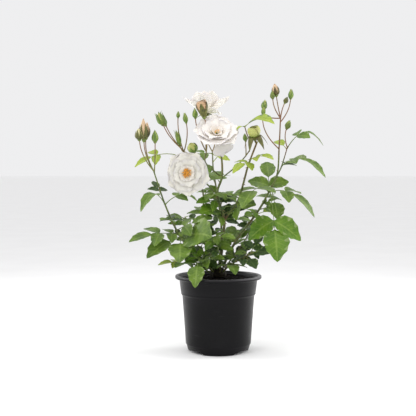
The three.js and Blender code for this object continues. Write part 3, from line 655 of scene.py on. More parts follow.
def bark_finish():
    bark = Finish("crown_bark", 0.8, 0.2)
    cracks = bark.noise(190, 5, (1, 1, 0.35))
    patch = bark.noise(60, 3)
    # Near-black bark: its own dark brown, darkened further as painted shade for the crown low under the
    # leaves
    body = bark.mix(cracks.between(0.35, 0.65), tone(16, 13, 9), tone(44, 38, 26))
    bark.colour(bark.mix(patch.between(0.55, 0.75) * 0.5, body, tone(38, 46, 22)))
    bark.bump(cracks, 0.0022, 0.9)
    return bark.material


def pot_finish():
    """Black plastic, smeared and scuffed, with a painted highlight that pales the rolled rim."""
    plastic = Finish("pot_plastic", 0.4, 0.15)
    grain = plastic.noise(900, 2)
    smear = plastic.noise(9, 4, (1, 1, 2.2))
    scuff = plastic.noise(70, 5, (0.4, 0.4, 4))
    body = plastic.mix(smear.between(0.35, 0.7), tone(8, 8, 10), tone(15, 14, 17))
    body = plastic.mix(scuff.between(0.64, 0.76) * 0.3, body, tone(46, 45, 48))
    # Painted highlight: the rim's lip is paled by height, in smeared patches, to stand in for glints of
    # light on it
    rim_glint = plastic.height().between(RIM_GLINT_FROM, RIM_GLINT_TO) * (smear.between(0.35, 0.7) * 0.7 + scuff * 0.2)
    plastic.colour(plastic.mix(rim_glint, body, tone(122, 120, 124)))
    plastic.set(plastic.shader.inputs["Roughness"], smear * 0.2 + scuff * 0.12 + 0.18)
    plastic.bump(grain + smear * 0.6, 0.0004, 0.3)
    return plastic.material


def soil_finish(name, deep, bright, fleck):
    soil = Finish(name, 0.95, 0.08)
    crumbs = soil.noise(330, 5)
    flecks = soil.noise(700, 2, seed=(3, 1, 7))
    body = soil.mix(crumbs.between(0.38, 0.68), deep, bright)
    soil.colour(soil.mix(flecks.between(0.68, 0.74), body, fleck))
    soil.bump(crumbs, 0.003, 0.9)
    return soil.material


def plain_grain_finish(name, deep, bright, grain, roughness):
    made = Finish(name, roughness)
    speck = made.noise(grain, 3)
    made.colour(made.mix(speck.between(0.35, 0.65), deep, bright))
    made.bump(speck, 0.0004, 0.5)
    return made.material


LEAF_FINISHES = [
    # Dark green for low, inner and back leaves: partly their own deeper green, partly painted shade
    leaf_finish("leaf_dark", tone(30, 50, 18), tone(62, 90, 32), tone(92, 118, 58), 0.42),
    leaf_finish("leaf_mid", tone(60, 90, 22), tone(116, 144, 48), tone(148, 170, 86), 0.42),
    leaf_finish("leaf_fresh", tone(58, 98, 16), tone(108, 142, 32), tone(150, 172, 80), 0.4),
    leaf_finish("leaf_lime", tone(128, 152, 38), tone(172, 188, 66), tone(206, 212, 128), 0.42),
    leaf_finish("leaf_underside", tone(108, 130, 70), tone(142, 160, 98), tone(172, 186, 130), 0.62),
]
TINT_ORDER = "dmfl"
UNDERSIDE = 4


# Meshes from gathered shapes
SHARP_ANGLE = 70
POLE_OUT = 0.2


class Heap:
    """Many small shapes of one kind, gathered to be written as one mesh."""

    def __init__(self):
        self.places, self.maps = [], []
        self.quads, self.corners = [], []
        self.finishes, self.corner_finishes = [], []
        self.count = 0

    def add(self, places, quads, finish, spread=None, corners=()):
        """Adds a shape of quads and of corners, which are triangles. Spread is its map, if it has one."""
        places = np.asarray(places, float)
        quads = np.asarray(quads, int).reshape(-1, 4)
        corners = np.asarray(corners, int).reshape(-1, 3)
        self.places.append(places)
        self.maps.append(np.full((len(places), 2), 0.5) if spread is None else np.asarray(spread, float))
        self.quads.append(quads + self.count)
        self.corners.append(corners + self.count)
        self.finishes.append(np.broadcast_to(finish, len(quads)))
        self.corner_finishes.append(np.full(len(corners), np.atleast_1d(finish)[0]))
        self.count += len(places)

    def add_lens(self, front, back_shift, finish, turned=False):
        """Adds a thin shape. Turned is for a net that looks down from the row before."""
        places, faces, spread = lens(front, back_shift)
        self.add(places, faces[:, ::-1] if turned else faces, finish, spread)

    def write(self, name, materials):
        """Makes the one mesh, with its map, its finishes and its sharp edges."""
        places, spread = np.concatenate(self.places) * MM, np.concatenate(self.maps)
        quads, corners = np.concatenate(self.quads), np.concatenate(self.corners)
        loops = np.concatenate([quads.ravel(), corners.ravel()])
        mesh = bpy.data.meshes.new(name)
        mesh.vertices.add(len(places))
        mesh.vertices.foreach_set("co", places.ravel())
        mesh.loops.add(len(loops))
        mesh.loops.foreach_set("vertex_index", loops)
        mesh.polygons.add(len(quads) + len(corners))
        starts = np.concatenate([np.arange(len(quads)) * 4, len(quads) * 4 + np.arange(len(corners)) * 3])
        mesh.polygons.foreach_set("loop_start", starts)
        mesh.polygons.foreach_set("material_index", np.concatenate(self.finishes + self.corner_finishes))
        mesh.polygons.foreach_set("use_smooth", np.ones(len(starts), bool))
        mesh.uv_layers.new(name="spread").data.foreach_set("uv", spread[loops].ravel())
        mesh.update(calc_edges=True)
        mesh.set_sharp_from_angle(angle=math.radians(SHARP_ANGLE))
        piece = bpy.data.objects.new(name, mesh)
        bpy.context.scene.collection.objects.link(piece)
        for material in materials:
            mesh.materials.append(material)
        return piece


def lattice(rows, columns, closed=False, first=0):
    """Faces of a net of rows by columns of vertices, turned to look up from the row before."""
    faces = []
    for row in range(rows - 1):
        for column in range(columns if closed else columns - 1):
            beside = (column + 1) % columns
            faces.append((first + row * columns + column, first + row * columns + beside,
                          first + (row + 1) * columns + beside, first + (row + 1) * columns + column))
    return np.array(faces)


def lens(front, back_shift):
    """A thin closed shape: the net's front, and a back that shares its edge. The first half of its
    faces is the front's."""
    rows, columns = front.shape[:2]
    inner = np.zeros((rows, columns), bool)
    inner[1:-1, 1:-1] = True
    number = np.arange(rows * columns).reshape(rows, columns)
    back_number = number.copy()
    back_number[inner] = rows * columns + np.arange(inner.sum())
    places = np.concatenate([front.reshape(-1, 3), (front + back_shift)[inner]])
    top = lattice(rows, columns)
    bottom = back_number.ravel()[top][:, ::-1]
    across, along = np.meshgrid(np.linspace(0, 1, columns), np.linspace(0, 1, rows))
    spread = np.stack([across, along], 2)
    return places, np.concatenate([top, bottom]), np.concatenate([spread.reshape(-1, 2), spread[inner]])


def pole_fans(last, sides):
    """Triangles that close a tube on its first vertex and its last."""
    fans = [(0, 1 + (k + 1) % sides, 1 + k) for k in range(sides)]
    fans += [(last, last - sides + k, last - sides + (k + 1) % sides) for k in range(sides)]
    return np.array(fans)


def tube(heap, route, start, stop, radius_at, sides, steps, finish, relief=None):
    """A closed limb along a route, with a low point at each end."""
    alongs = np.linspace(start, stop, steps + 1)
    centres = np.array([route(along) for along in alongs])
    ways = np.array([way_at(route, along) for along in alongs])
    side = unit(np.cross(ways[0], [0, 1, 0] if abs(ways[0][1]) < 0.8 else [1, 0, 0]))
    angles = np.arange(sides) * FULL_TURN / sides
    places, spread = [centres[0] - ways[0] * POLE_OUT], [(0.5, 0)]
    for step, (centre, way, along) in enumerate(zip(centres, ways, alongs)):
        side = unit(side - way * np.dot(side, way))
        lift = np.cross(way, side)
        radii = np.full(sides, float(radius_at(along)))
        if relief:
            radii += relief(centre, angles)
        ring = centre + np.outer(np.cos(angles) * radii, side) + np.outer(np.sin(angles) * radii, lift)
        places.extend(ring)
        spread.extend((k / sides, step / steps) for k in range(sides))
    places.append(centres[-1] + ways[-1] * POLE_OUT)
    spread.append((0.5, 1))
    heap.add(places, lattice(steps + 1, sides, True, 1), finish, spread, pole_fans(len(places) - 1, sides))


# Leaflet, modelled once: a grid drawn to the outline of a blade, with teeth and sunk veins
BLADE_ROWS = [(0, 0.012), (0.045, 0.05), (0.12, 0.178), (0.22, 0.26), (0.34, 0.298), (0.46, 0.302),
              (0.59, 0.278), (0.71, 0.228), (0.82, 0.156), (0.92, 0.074), (1, 0.004)]
TOOTH_OUT = 0.017
TOOTH_AHEAD = 0.02
NOTCH_SHARE = -0.4
VEIN_DEPTH = 0.01
VEIN_AHEAD = 0.012
BLADE_THICK = 0.009
BLADE_COLUMNS = 5
# The rows that are placed already are kept this far from the others, so they aren't chosen again
ASIDE = 2


def model_blade():
    """The blade's net, as long as 1 and as broad as its rows say, with teeth and sunk veins in turn."""
    rows = len(BLADE_ROWS) - 1
    bpy.ops.mesh.primitive_grid_add(x_subdivisions=BLADE_COLUMNS - 1, y_subdivisions=rows, size=1,
                                    location=(0, 0, 0))
    grid = bpy.context.object
    bpy.ops.object.mode_set(mode="EDIT")
    net = bmesh.from_edit_mesh(grid.data)
    net.verts.ensure_lookup_table()

    def choose(test):
        for vertex in net.verts:
            vertex.select = bool(test(vertex.co))
        net.select_flush_mode()
        bmesh.update_edit_mesh(grid.data)

    for row, (along, width) in enumerate(BLADE_ROWS):
        line = -0.5 + row / rows
        choose(lambda co: abs(co.y - line) < 0.01 and abs(co.z) < 0.01)
        bpy.ops.transform.resize(value=(width * 2, 1, 1), center_override=(0, line, 0))
        bpy.ops.transform.translate(value=(0, along + ASIDE - line, 0))
        tooth = 1 if row % 2 else NOTCH_SHARE
        if 1 < row < rows:
            for hand in (-1, 1):
                choose(lambda co: abs(co.y - along - ASIDE) < 0.001 and co.x * hand > width * 0.8)
                out = hand * TOOTH_OUT * tooth * width / BLADE_WIDTH
                bpy.ops.transform.translate(value=(out, TOOTH_AHEAD * tooth, 0))
            choose(lambda co: abs(co.y - along - ASIDE) < 0.001 and 0.3 * width < abs(co.x) < 0.7 * width)
            bpy.ops.transform.translate(value=(0, VEIN_AHEAD, -VEIN_DEPTH if row % 2 else VEIN_DEPTH * 0.6))
    choose(lambda co: True)
    bpy.ops.transform.translate(value=(0, -ASIDE, 0))
    bpy.ops.object.mode_set(mode="OBJECT")
    places = np.zeros(len(grid.data.vertices) * 3)
    grid.data.vertices.foreach_get("co", places)
    bpy.data.objects.remove(grid)
    return places.reshape(rows + 1, BLADE_COLUMNS, 3)


def dress_leaves():
    """Every leaflet: the blade bent along its route, folded along its midrib, curled and waved."""
    places, faces, spread = lens(model_blade(), np.array([0, 0, -BLADE_THICK]))
    across, along, height = places.T
    heap = Heap()
    chance = np.random.RandomState(SEEDS["leaves"])
    for (foot, knee, tip), side, length, broad, start, tint in leaflets:
        t = (start + (1 - start) * along)[:, None]
        centres = foot * (1 - t) ** 2 + knee * 2 * t * (1 - t) + tip * t ** 2
        ways = (knee - foot) * (1 - t) + (tip - knee) * t
        lifts = np.cross(side, ways)
        lifts /= np.linalg.norm(lifts, axis=1)[:, None]
        fold = BLADE_FOLD * chance.uniform(0.7, 1.5)
        curl, wave, phase = chance.uniform(-0.01, 0.09), chance.uniform(0.004, 0.02), chance.uniform(0, 6.3)
        out = across * length * broad
        rise = height * length + np.abs(out) * fold - curl * along ** 2 * length * (1 + np.abs(across))
        rise += wave * length * np.sin(along * 9 + phase + np.sign(across)) * np.abs(across) * 3.3
        shape = centres + side * out[:, None] + lifts * rise[:, None]
        heap.add(shape, faces, np.repeat([TINT_ORDER.index(tint), UNDERSIDE], len(faces) // 2), spread)
    return heap.write("leaves", LEAF_FINISHES)


# Shoots, stalks and pedicels
LENGTH_STEPS = 40
SHOOT_STEP = 5


def pedicel_radius(along):
    """Thins towards the bud and swells again just under it."""
    return PEDICEL_RADIUS + 0.12 - 0.25 * along + 0.5 * max(along - 0.85, 0)


def route_length(route):
    return sum(np.linalg.norm(route(k / LENGTH_STEPS) - route((k - 1) / LENGTH_STEPS))
               for k in range(1, LENGTH_STEPS + 1))


def stalk_radius(stop):
    """Thins towards the end leaflet, and is swollen at its foot."""
    return lambda along: STALK_RADIUS - 0.45 * along / stop + 0.5 * max(0.06 - along, 0) / 0.06


def dress_shoots():
    """All that is green and round: the canes' upper parts, twigs, pedicels and leaf stalks."""
    heap = Heap()
    for name, (radii, bare, _) in SHOOTS.items():
        route = routes[name]
        length = route_length(route)
        start = bare + GAP / length if bare else crown_exit(route)
        steps = int(length * (1 - start) / SHOOT_STEP) + 3
        tube(heap, route, start, 1, taper(*radii), sides=8, steps=steps, finish=0, relief=cane_relief)
    for name, (_, radii, _) in TWIGS.items():
        tube(heap, routes[name], 0, 1, taper(*radii), sides=8, steps=16, finish=0, relief=cane_relief)
    for pedicel, *_ in buds:
        tube(heap, pedicel, 0, 1, pedicel_radius, sides=6, steps=12, finish=1)
    for route, stop, tint in stalks:
        tube(heap, route, 0, stop, stalk_radius(stop), sides=5, steps=9, finish=3 if tint == "l" else 2)
    return heap.write("shoots", [
        skin_finish("shoot_green", tone(62, 76, 28), tone(104, 118, 52), tone(98, 70, 42),
                    blush=tone(134, 84, 60)),
        skin_finish("pedicel_green", tone(92, 92, 42), tone(130, 134, 68), tone(128, 78, 58),
                    blush=tone(142, 92, 68)),
        skin_finish("stalk_green", tone(74, 92, 36), tone(118, 138, 62), tone(112, 86, 52)),
        skin_finish("stalk_lime", tone(120, 134, 52), tone(158, 172, 84), tone(134, 106, 66)),
    ])


def cane_relief(centre, angles):
    """Small swellings and flats of a cane's skin."""
    lump = noise.noise(Vector(centre * 0.11)) * 0.14
    return lump + 0.07 * np.cos(angles * 3 + centre[2] * 0.06)


# Round solids, drawn ring by ring
def lathe(name, vertices, profile, out_scale=1, up_scale=1, base=0, cuts=0):
    """A closed round solid through a profile of rows, each a share of out_scale and up_scale above base."""
    out, up = profile[0]
    foot = (base + up * up_scale) * MM
    bpy.ops.mesh.primitive_circle_add(vertices=vertices, radius=out * out_scale * MM, fill_type="NOTHING",
                                      location=(0, 0, 0))
    piece = bpy.context.object
    piece.name = name
    bpy.ops.object.mode_set(mode="EDIT")
    bpy.ops.transform.translate(value=(0, 0, foot))
    bpy.context.tool_settings.mesh_select_mode = (False, True, False)
    for next_out, next_up in profile[1:]:
        rise = (0, 0, (next_up - up) * up_scale * MM)
        bpy.ops.mesh.extrude_region_move(TRANSFORM_OT_translate={"value": rise})
        bpy.ops.transform.resize(value=(next_out / out, next_out / out, 1),
                                 center_override=(0, 0, (base + next_up * up_scale) * MM))
        out, up = next_out, next_up
    close_ring()
    bpy.ops.mesh.select_all(action="DESELECT")
    net = bmesh.from_edit_mesh(piece.data)
    for edge in net.edges:
        edge.select = edge.is_boundary and all(abs(v.co.z - foot) < 1e-5 for v in edge.verts)
    bmesh.update_edit_mesh(piece.data)
    close_ring()
    bpy.ops.mesh.select_all(action="SELECT")
    bpy.ops.mesh.normals_make_consistent(inside=False)
    if cuts:
        bpy.ops.mesh.subdivide(number_cuts=cuts)
    bpy.ops.object.mode_set(mode="OBJECT")
    return piece


def close_ring():
    """Draws the selected ring in to its own centre."""
    bpy.ops.mesh.extrude_region_move(TRANSFORM_OT_translate={"value": (0, 0, 0)})
    bpy.ops.mesh.merge(type="CENTER")


# Crown: its profile in shares of radius and rise, from its cut foot up
EXIT_STEPS = 200
CROWN_RADIUS = 15.5
CROWN_RISE = 17
CROWN_BOTTOM = 130.7
CROWN_PROFILE = [(0.86, 0), (0.97, 0.12), (1, 0.3), (0.96, 0.46), (0.88, 0.6), (0.78, 0.73), (0.64, 0.84),
                 (0.46, 0.92), (0.24, 0.98)]


def crown_exit(route):
    """Where a shoot that starts in the crown comes out of it."""
    for k in range(EXIT_STEPS):
        place = route(k / EXIT_STEPS)
        share = (place[2] - CROWN_BOTTOM) / CROWN_RISE
        if share > 1 or np.hypot(place[0], place[1]) > CROWN_RADIUS * (1.05 - 0.55 * share) + 0.8:
            return k / EXIT_STEPS
    return 0


def dress_crown():
    """A woody knob, lumpy and cracked but for its cut foot."""
    crown = lathe("crown_knob", 48, CROWN_PROFILE, CROWN_RADIUS, CROWN_RISE, CROWN_BOTTOM, cuts=1)
    for vertex in crown.data.vertices:
        co = vertex.co
        share = min(1, max(0, (co.z - CROWN_BOTTOM * MM) / 0.002))
        radial = Vector((co.x, co.y, 0)).normalized() if co.xy.length > 1e-4 else Vector((0, 0, 0))
        crack = noise.noise(Vector((co.x, co.y, co.z * 0.3)) * 520) * 0.0005
        knuckle = noise.noise(co * 160) * 0.0011 + crack
        vertex.co = co + (radial + Vector((0, 0, 0.5))) * (knuckle - 0.0006) * share
    return finish_piece(crown, bark_finish(), smooth_below=60)


def finish_piece(piece, material, smooth_below):
    piece.data.materials.append(material)
    bpy.ops.object.select_all(action="DESELECT")
    piece.select_set(True)
    bpy.context.view_layer.objects.active = piece
    bpy.ops.object.shade_smooth_by_angle(angle=math.radians(smooth_below))
    piece.select_set(False)
    return piece


# Bare boughs, with the nodes and flat places of a grown cane, and a few prickles. The big bud's
# bough starts beside the centre's and not in the crown
CANE_NODE = 21
BOUGH_STEPS = 64
SHORT_BOUGH_START = 0.012
SHORT_BOUGH_STEPS = 18
# Prickles on each shoot that has a bare bough, and on each that has none
PRICKLES = 9
LEAFY_PRICKLES = 4


def bough_relief(centre, angles):
    height = centre[2]
    node = math.exp(-(((height + centre[0]) % CANE_NODE - CANE_NODE / 2) / 1.3) ** 2) * 0.35
    grain = [noise.noise(Vector((math.cos(a) * 2.2, math.sin(a) * 2.2, height * 0.16))) for a in angles]
    return node + cane_relief(centre, angles) + np.array(grain) * 0.22


def dress_boughs():
    heap = Heap()
    for name, (radii, bare, _) in SHOOTS.items():
        if bare:
            route = routes[name]
            short = name == "big_bud"
            start = SHORT_BOUGH_START if short else crown_exit(route)
            steps = SHORT_BOUGH_STEPS if short else BOUGH_STEPS
            tube(heap, route, start, bare, taper(*radii), sides=12, steps=steps, finish=0,
                 relief=bough_relief)
    return heap.write("canes", [
        skin_finish("cane_skin", tone(66, 66, 34), tone(104, 108, 56), tone(104, 74, 46), 0.55, 300)])


def dress_prickles():
    """Small down-turned prickles along the canes."""
    heap = Heap()
    chance = np.random.RandomState(SEEDS["prickles"])
    for name, (radii, bare, _) in SHOOTS.items():
        route = routes[name]
        count = PRICKLES if bare else LEAFY_PRICKLES
        for k in range(count):
            along = 0.2 + 0.6 * (k + chance.uniform(-0.3, 0.3)) / count
            way = way_at(route, along)
            side = unit(np.cross(way, heading(chance.uniform(0, 360), chance.uniform(-20, 20))))
            root = route(along) + side * (taper(*radii)(along) - 0.35)
            prickle = bezier(root, root + side * 1.6, root + side * 2.6 - way * 1.3)
            tube(heap, prickle, 0, 1, taper(0.92, 0.07), sides=5, steps=4, finish=0)
    return heap.write("prickles", [
        skin_finish("prickle_horn", tone(122, 84, 56), tone(150, 112, 78), tone(98, 60, 44), 0.45)])


# Buds: rounded hip, folded petals wound round each other, and five sepals. A form is rows of
# height in shares of the length and breadth in shares of the width
URN_FORM = [(0.14, 0.42), (0.24, 0.58), (0.36, 0.74), (0.5, 0.9), (0.64, 1.04), (0.78, 1.12), (0.92, 1.12),
            (1.06, 0.96)]
CLOSED_FORM = [(0.14, 0.5), (0.24, 0.82), (0.36, 1), (0.5, 0.98), (0.64, 0.82), (0.78, 0.58), (0.9, 0.32),
               (1, 0.1)]
OPEN_FORM = [(0.14, 0.44), (0.24, 0.66), (0.36, 0.8), (0.5, 0.92), (0.64, 1), (0.78, 0.98), (0.9, 0.86),
             (0.98, 0.72)]
FAT_FORM = [(0.14, 0.62), (0.24, 0.88), (0.36, 1), (0.5, 1), (0.64, 0.92), (0.78, 0.74), (0.88, 0.48),
            (0.94, 0.2)]
HIP_FORM = [(0, 0.16), (0.04, 0.3), (0.1, 0.4), (0.17, 0.36), (0.22, 0.2)]
# Each kind's form, the finishes of its petals and sepals, and how far up it the sepals reach
BUD_KINDS = {
    "peach": (CLOSED_FORM, 0, 2, 0.8),
    "cream": (CLOSED_FORM, 1, 2, 0.92),
    "olive": (CLOSED_FORM, 2, 1, 1.06),
    "green": (CLOSED_FORM, 2, 1, 1.06),
    "fat": (FAT_FORM, 2, 1, 0.8),
    "urn": (URN_FORM, 4, 2, 1.06),
    "half_open": (OPEN_FORM, 2, 2, 0.92),
    "dark": (CLOSED_FORM, 3, 2, 1.06),
}
HIP_SIDES = 10
BUD_PETALS = 6
SEPALS = 5
SEPAL_STEPS = np.linspace(0, 1, 8)
SEPAL_BREADTHS = np.interp(SEPAL_STEPS, [0, 0.25, 0.6, 0.85, 1], [0.75, 1, 0.62, 0.24, 0.03])
SEPAL_ROOT = 0.15


def add_hip(greens, spot, foot, crown, width):
    stout = 0.62 if width > 15 else 0.72
    angles = np.arange(HIP_SIDES) * FULL_TURN / HIP_SIDES
    rings = [spot(np.full(HIP_SIDES, up), out * width * stout, angles) for up, out in HIP_FORM]
    places = np.concatenate([[foot], *rings, [crown]])
    greens.add(places, lattice(len(HIP_FORM), HIP_SIDES, True, 1)[:, ::-1], 0,
               corners=pole_fans(len(places) - 1, HIP_SIDES)[:, ::-1])


def add_wound_petals(petals, spot, around, ups, outs, turn, finish):
    """Each petal lies a little further in than the one before."""
    v = np.linspace(-1, 1, 7)
    for k in range(BUD_PETALS):
        angle = turn + k * 2.4 + v * (1.25 - 0.1 * k)
        tuck = 1 - 0.055 * k
        edge = 1 + 0.07 * (v + 1) / 2
        net = np.array([spot(up * (1 - 0.05 * v ** 2 * (up > 0.7)) - 0.02 * k * (up > 0.9),
                             out * tuck * edge, angle + (up - 0.2) * 0.7) for up, out in zip(ups, outs)])
        petals.add_lens(net, np.array([-around(1, angle)] * len(ups)) * 0.3, finish, turned=True)


def add_sepals(greens, spot, ups, outs, turn, bud, chance):
    """Sepals that hug the bud, flick out at their tips, or stand off it by their splay."""
    _, _, way, side, lift, length, width, kind, splay = bud
    _, _, finish, reach = BUD_KINDS[kind]
    flick, splay = max(0, -splay), max(0, splay)
    grand = 1.45 if kind == "half_open" else 1
    steps = SEPAL_STEPS
    v = np.linspace(-1, 1, 5)
    broad = width * 0.36 * (0.8 if kind == "peach" else 1) * SEPAL_BREADTHS
    for k in range(SEPALS):
        angle = turn + k * FULL_TURN / SEPALS + 0.3
        hug_up = SEPAL_ROOT + (reach - SEPAL_ROOT + 0.04 * chance.uniform(-1, 1)) * steps
        hug_out = np.interp(hug_up, ups, outs) * 1.05 + 0.5
        hug_out = np.where(hug_up > 1, 0.4 + (hug_up - 1) * width * 0.6, hug_out)
        hug_out = hug_out + flick * steps ** 3 * length * 0.26
        off_up = 0.17 + 0.32 * steps - 0.72 * steps ** 2 * splay * grand
        off_out = width * 0.26 + steps * length * 0.5 * grand - steps ** 3 * length * 0.1
        share = splay * np.minimum(steps * 1.6, 1) ** 1.2
        rows = zip(hug_up * (1 - share) + off_up * share, hug_out * (1 - share) + off_out * share, broad)
        net = np.array([spot(np.full(len(v), up), out - np.abs(v) * 0.25,
                             angle + v * half / max(out, width * 0.3)) for up, out, half in rows])
        greens.add_lens(net, -swing(side, lift, angle) * 0.35 + way * 0.3 * splay, finish, turned=True)


def dress_buds():
    petals, greens = Heap(), Heap()
    chance = np.random.RandomState(SEEDS["buds"])
    for bud in buds:
        _, seat, way, side, lift, length, width, kind, _ = bud
        form, finish, _, _ = BUD_KINDS[kind]
        ups, outs = np.array(form).T
        outs = outs * width / 2
        turn = chance.uniform(0, 6.3)

        def around(out, angle):
            across, aloft = np.cos(angle) * out, np.sin(angle) * out
            return np.multiply.outer(across, side) + np.multiply.outer(aloft, lift)

        def spot(up, out, angle):
            return seat + around(out, angle) + np.multiply.outer(np.ones_like(angle) * up * length, way)

        add_hip(greens, spot, seat - way * 0.6, seat + way * length * 0.23, width)
        add_wound_petals(petals, spot, around, ups, outs, turn, finish)
        add_sepals(greens, spot, ups, outs, turn, bud, chance)
    return petals.write("bud_petals", [
        petal_finish("bud_peach", tone(170, 156, 108), tone(218, 184, 146), tone(188, 138, 100)),
        petal_finish("bud_cream", tone(158, 168, 96), tone(214, 206, 150), tone(196, 170, 120)),
        petal_finish("bud_green", tone(124, 142, 60), tone(186, 190, 106), tone(156, 148, 76)),
        petal_finish("bud_dark", tone(70, 84, 40), tone(104, 110, 60), tone(96, 72, 46)),
        petal_finish("bud_tan", tone(142, 114, 72), tone(204, 166, 126), tone(128, 88, 58)),
    ]), greens.write("sepals", [
        skin_finish("hip_green", tone(84, 104, 42), tone(128, 146, 66), tone(112, 96, 48), 0.45),
        skin_finish("sepal_green", tone(76, 108, 38), tone(130, 156, 64), tone(104, 110, 48)),
        skin_finish("sepal_brown", tone(62, 66, 24), tone(112, 112, 48), tone(88, 68, 36)),
    ])


# Blooms: whorls of broad petals, by count, root radius, length, half width, angle at root and
# tip, cup and first bearing, in shares of the bloom's radius, for a flat bloom and for a cupped one
FLAT_WHORLS = [
    (5, 0.05, 0.96, 0.62, 8, 3, 0.1, 8), (5, 0.05, 0.82, 0.55, 14, 6, 0.13, 44),
    (5, 0.06, 0.6, 0.42, 22, 13, 0.16, 12), (4, 0.08, 0.36, 0.26, 36, 28, 0.22, 40),
]
HALF_WHORLS = [
    (5, 0.05, 1.02, 0.62, 12, 14, 0.1, 8), (5, 0.05, 0.9, 0.56, 20, 18, 0.14, 44),
    (5, 0.06, 0.68, 0.46, 30, 30, 0.2, 12), (4, 0.07, 0.36, 0.27, 46, 62, 0.3, 20),
]
# The third bloom is seen from behind and has its petals one by one: bearing in the place of the
# count, then the same measures, and how pointed
FAN_PETALS = [
    (62, 0.05, 1.06, 0.46, 46, 56, 0.2, 0.2), (118, 0.05, 1.06, 0.46, 46, 56, 0.2, 0.2),
    (3, 0.05, 1.28, 0.3, 40, 50, 0.3, 0.9), (342, 0.05, 1.06, 0.24, 34, 40, 0.3, 1),
    (184, 0.05, 1.22, 0.34, 36, 50, 0.24, 0.7), (30, 0.05, 1.12, 0.42, 50, 62, 0.24, 0.4),
    (150, 0.05, 1.06, 0.42, 44, 56, 0.24, 0.4), (300, 0.05, 1.02, 0.46, 48, 54, 0.16, 0.1),
    (252, 0.05, 1, 0.46, 52, 50, 0.16, 0), (212, 0.04, 0.72, 0.34, 26, -52, 0.2, 0),
    (278, 0.04, 0.94, 0.4, 62, 66, 0.26, 0.1), (20, 0.04, 0.8, 0.32, 66, 76, 0.3, 0.1),
    (140, 0.04, 0.8, 0.32, 66, 76, 0.3, 0.1),
]
# The second bloom's petal that hangs below it, with its bearing, point, size and height; its height below
# the seat gives it a greyer finish as painted shade
HANGING_PETAL = ((1, 0.34, 0.72, 0.52, -34, -66, 0.1, 0), 66, 0.45, 1, -4)
# Each bloom's stamens and how far the outermost lean, how far its sepals droop, and their half
# breadths in millimetres from root to tip
STAMENS = [(110, 54), (10, 26), (50, 40)]
SEPAL_DROOPS = (0.05, 0.05, 0.5)
BLOOM_SEPAL_BREADTHS = (2.2, 2.9, 2.8, 2.3, 1.7, 1.1, 0.6, 0.1)
PETAL_ROWS = 10
PETAL_COLUMNS = 9


def petal_net(seat, face, side, lift, radius, whorl, bearing, point, scale, chance):
    """One petal: broad and round at the top, dished, with a waved and slightly rolled edge."""
    _, root, length, half, low, high, cup, _ = whorl
    b = np.linspace(0, 1, PETAL_ROWS)
    a = np.linspace(-1, 1, PETAL_COLUMNS)
    length, half = length * radius * scale, half * radius * scale
    rolled = chance.uniform(0, 20)
    bend = np.radians(low + (high - low) * b ** 1.2 - rolled * b ** 5 + chance.uniform(-4, 4))
    step = length / (PETAL_ROWS - 1)
    out = root * radius + np.concatenate([[0], np.cumsum(np.cos(bend[1:]) * step)])
    up = np.concatenate([[0], np.cumsum(np.sin(bend[1:]) * step)])
    breadths = [0.14, 0.4, 0.76, 1, 0.96 - 0.3 * point, 0.74 - 0.5 * point, 0.34 - 0.26 * point]
    width = half * np.interp(b, [0, 0.15, 0.35, 0.6, 0.8, 0.93, 1], breadths)
    wave, phase = chance.uniform(0.02, 0.06) * radius, chance.uniform(0, 6.3)
    ray = swing(side, lift, math.radians(bearing))
    cross = swing(lift, -side, math.radians(bearing))
    net = np.zeros((PETAL_ROWS, PETAL_COLUMNS, 3))
    back = np.zeros((PETAL_ROWS, PETAL_COLUMNS, 3))
    skew = chance.uniform(-0.06, 0.06)
    for k in range(PETAL_ROWS):
        across = a * width[k]
        normal = swing(face, -ray, bend[k])
        along = swing(ray, face, bend[k])
        lag = -0.16 * length * a ** 2 * b[k] ** 2 + skew * length * a * b[k]
        lag = lag - 0.035 * length * np.cos(a * 9 + phase) * (b[k] > 0.9)
        dish = cup * across ** 2 / half + wave * np.sin(a * 2.6 + phase + 2 * b[k]) * b[k] ** 2
        dish = dish + wave * 0.5 * np.sin(a * 6.1 + phase * 2) * b[k] ** 4
        centre = seat + ray * out[k] + face * up[k]
        net[k] = centre + np.outer(across, cross) + np.outer(lag, along) + np.outer(dish, normal)
        back[k] = -normal * 0.4
    return net, back


def petal_rows(number, chance):
    """A bloom's petals, each its whorl, bearing, point, size and height over the seat."""
    if number == 2:
        return [(row, row[0] + chance.uniform(-3, 3), row[7], 1, k * 0.12)
                for k, row in enumerate(FAN_PETALS)]
    rows = []
    for whorl in (FLAT_WHORLS, HALF_WHORLS)[number]:
        count, first = whorl[0], whorl[7]
        rows += [(whorl, first + 37 * number + 360 * k / count + chance.uniform(-8, 8), 0.1,
                  chance.uniform(0.95, 1.03), len(rows) * 0.09) for k in range(count)]
    return rows + [HANGING_PETAL] if number == 1 else rows


def add_stamens(stamens, seat, face, side, lift, count, widest, chance):
    """A tuft of filaments, each with an anther across its tip."""
    for _ in range(count):
        angle, open_out = chance.uniform(0, FULL_TURN), chance.uniform(0, 1) ** 0.7
        ray = swing(side, lift, angle)
        foot = seat + ray * 2.4 * open_out
        tip = foot + swing(face, ray, math.radians(widest * open_out)) * chance.uniform(5.2, 7.4)
        tube(stamens, bezier(foot, (foot + tip) / 2 + face * 0.8, tip), 0, 1, lambda t: 0.2,
             sides=3, steps=2, finish=0)
        tube(stamens, bezier(tip - ray * 0.8, tip + face * 0.2, tip + ray * 0.8), 0, 1,
             lambda t: 0.35 + 0.35 * math.sin(math.pi * t), sides=5, steps=3, finish=1)


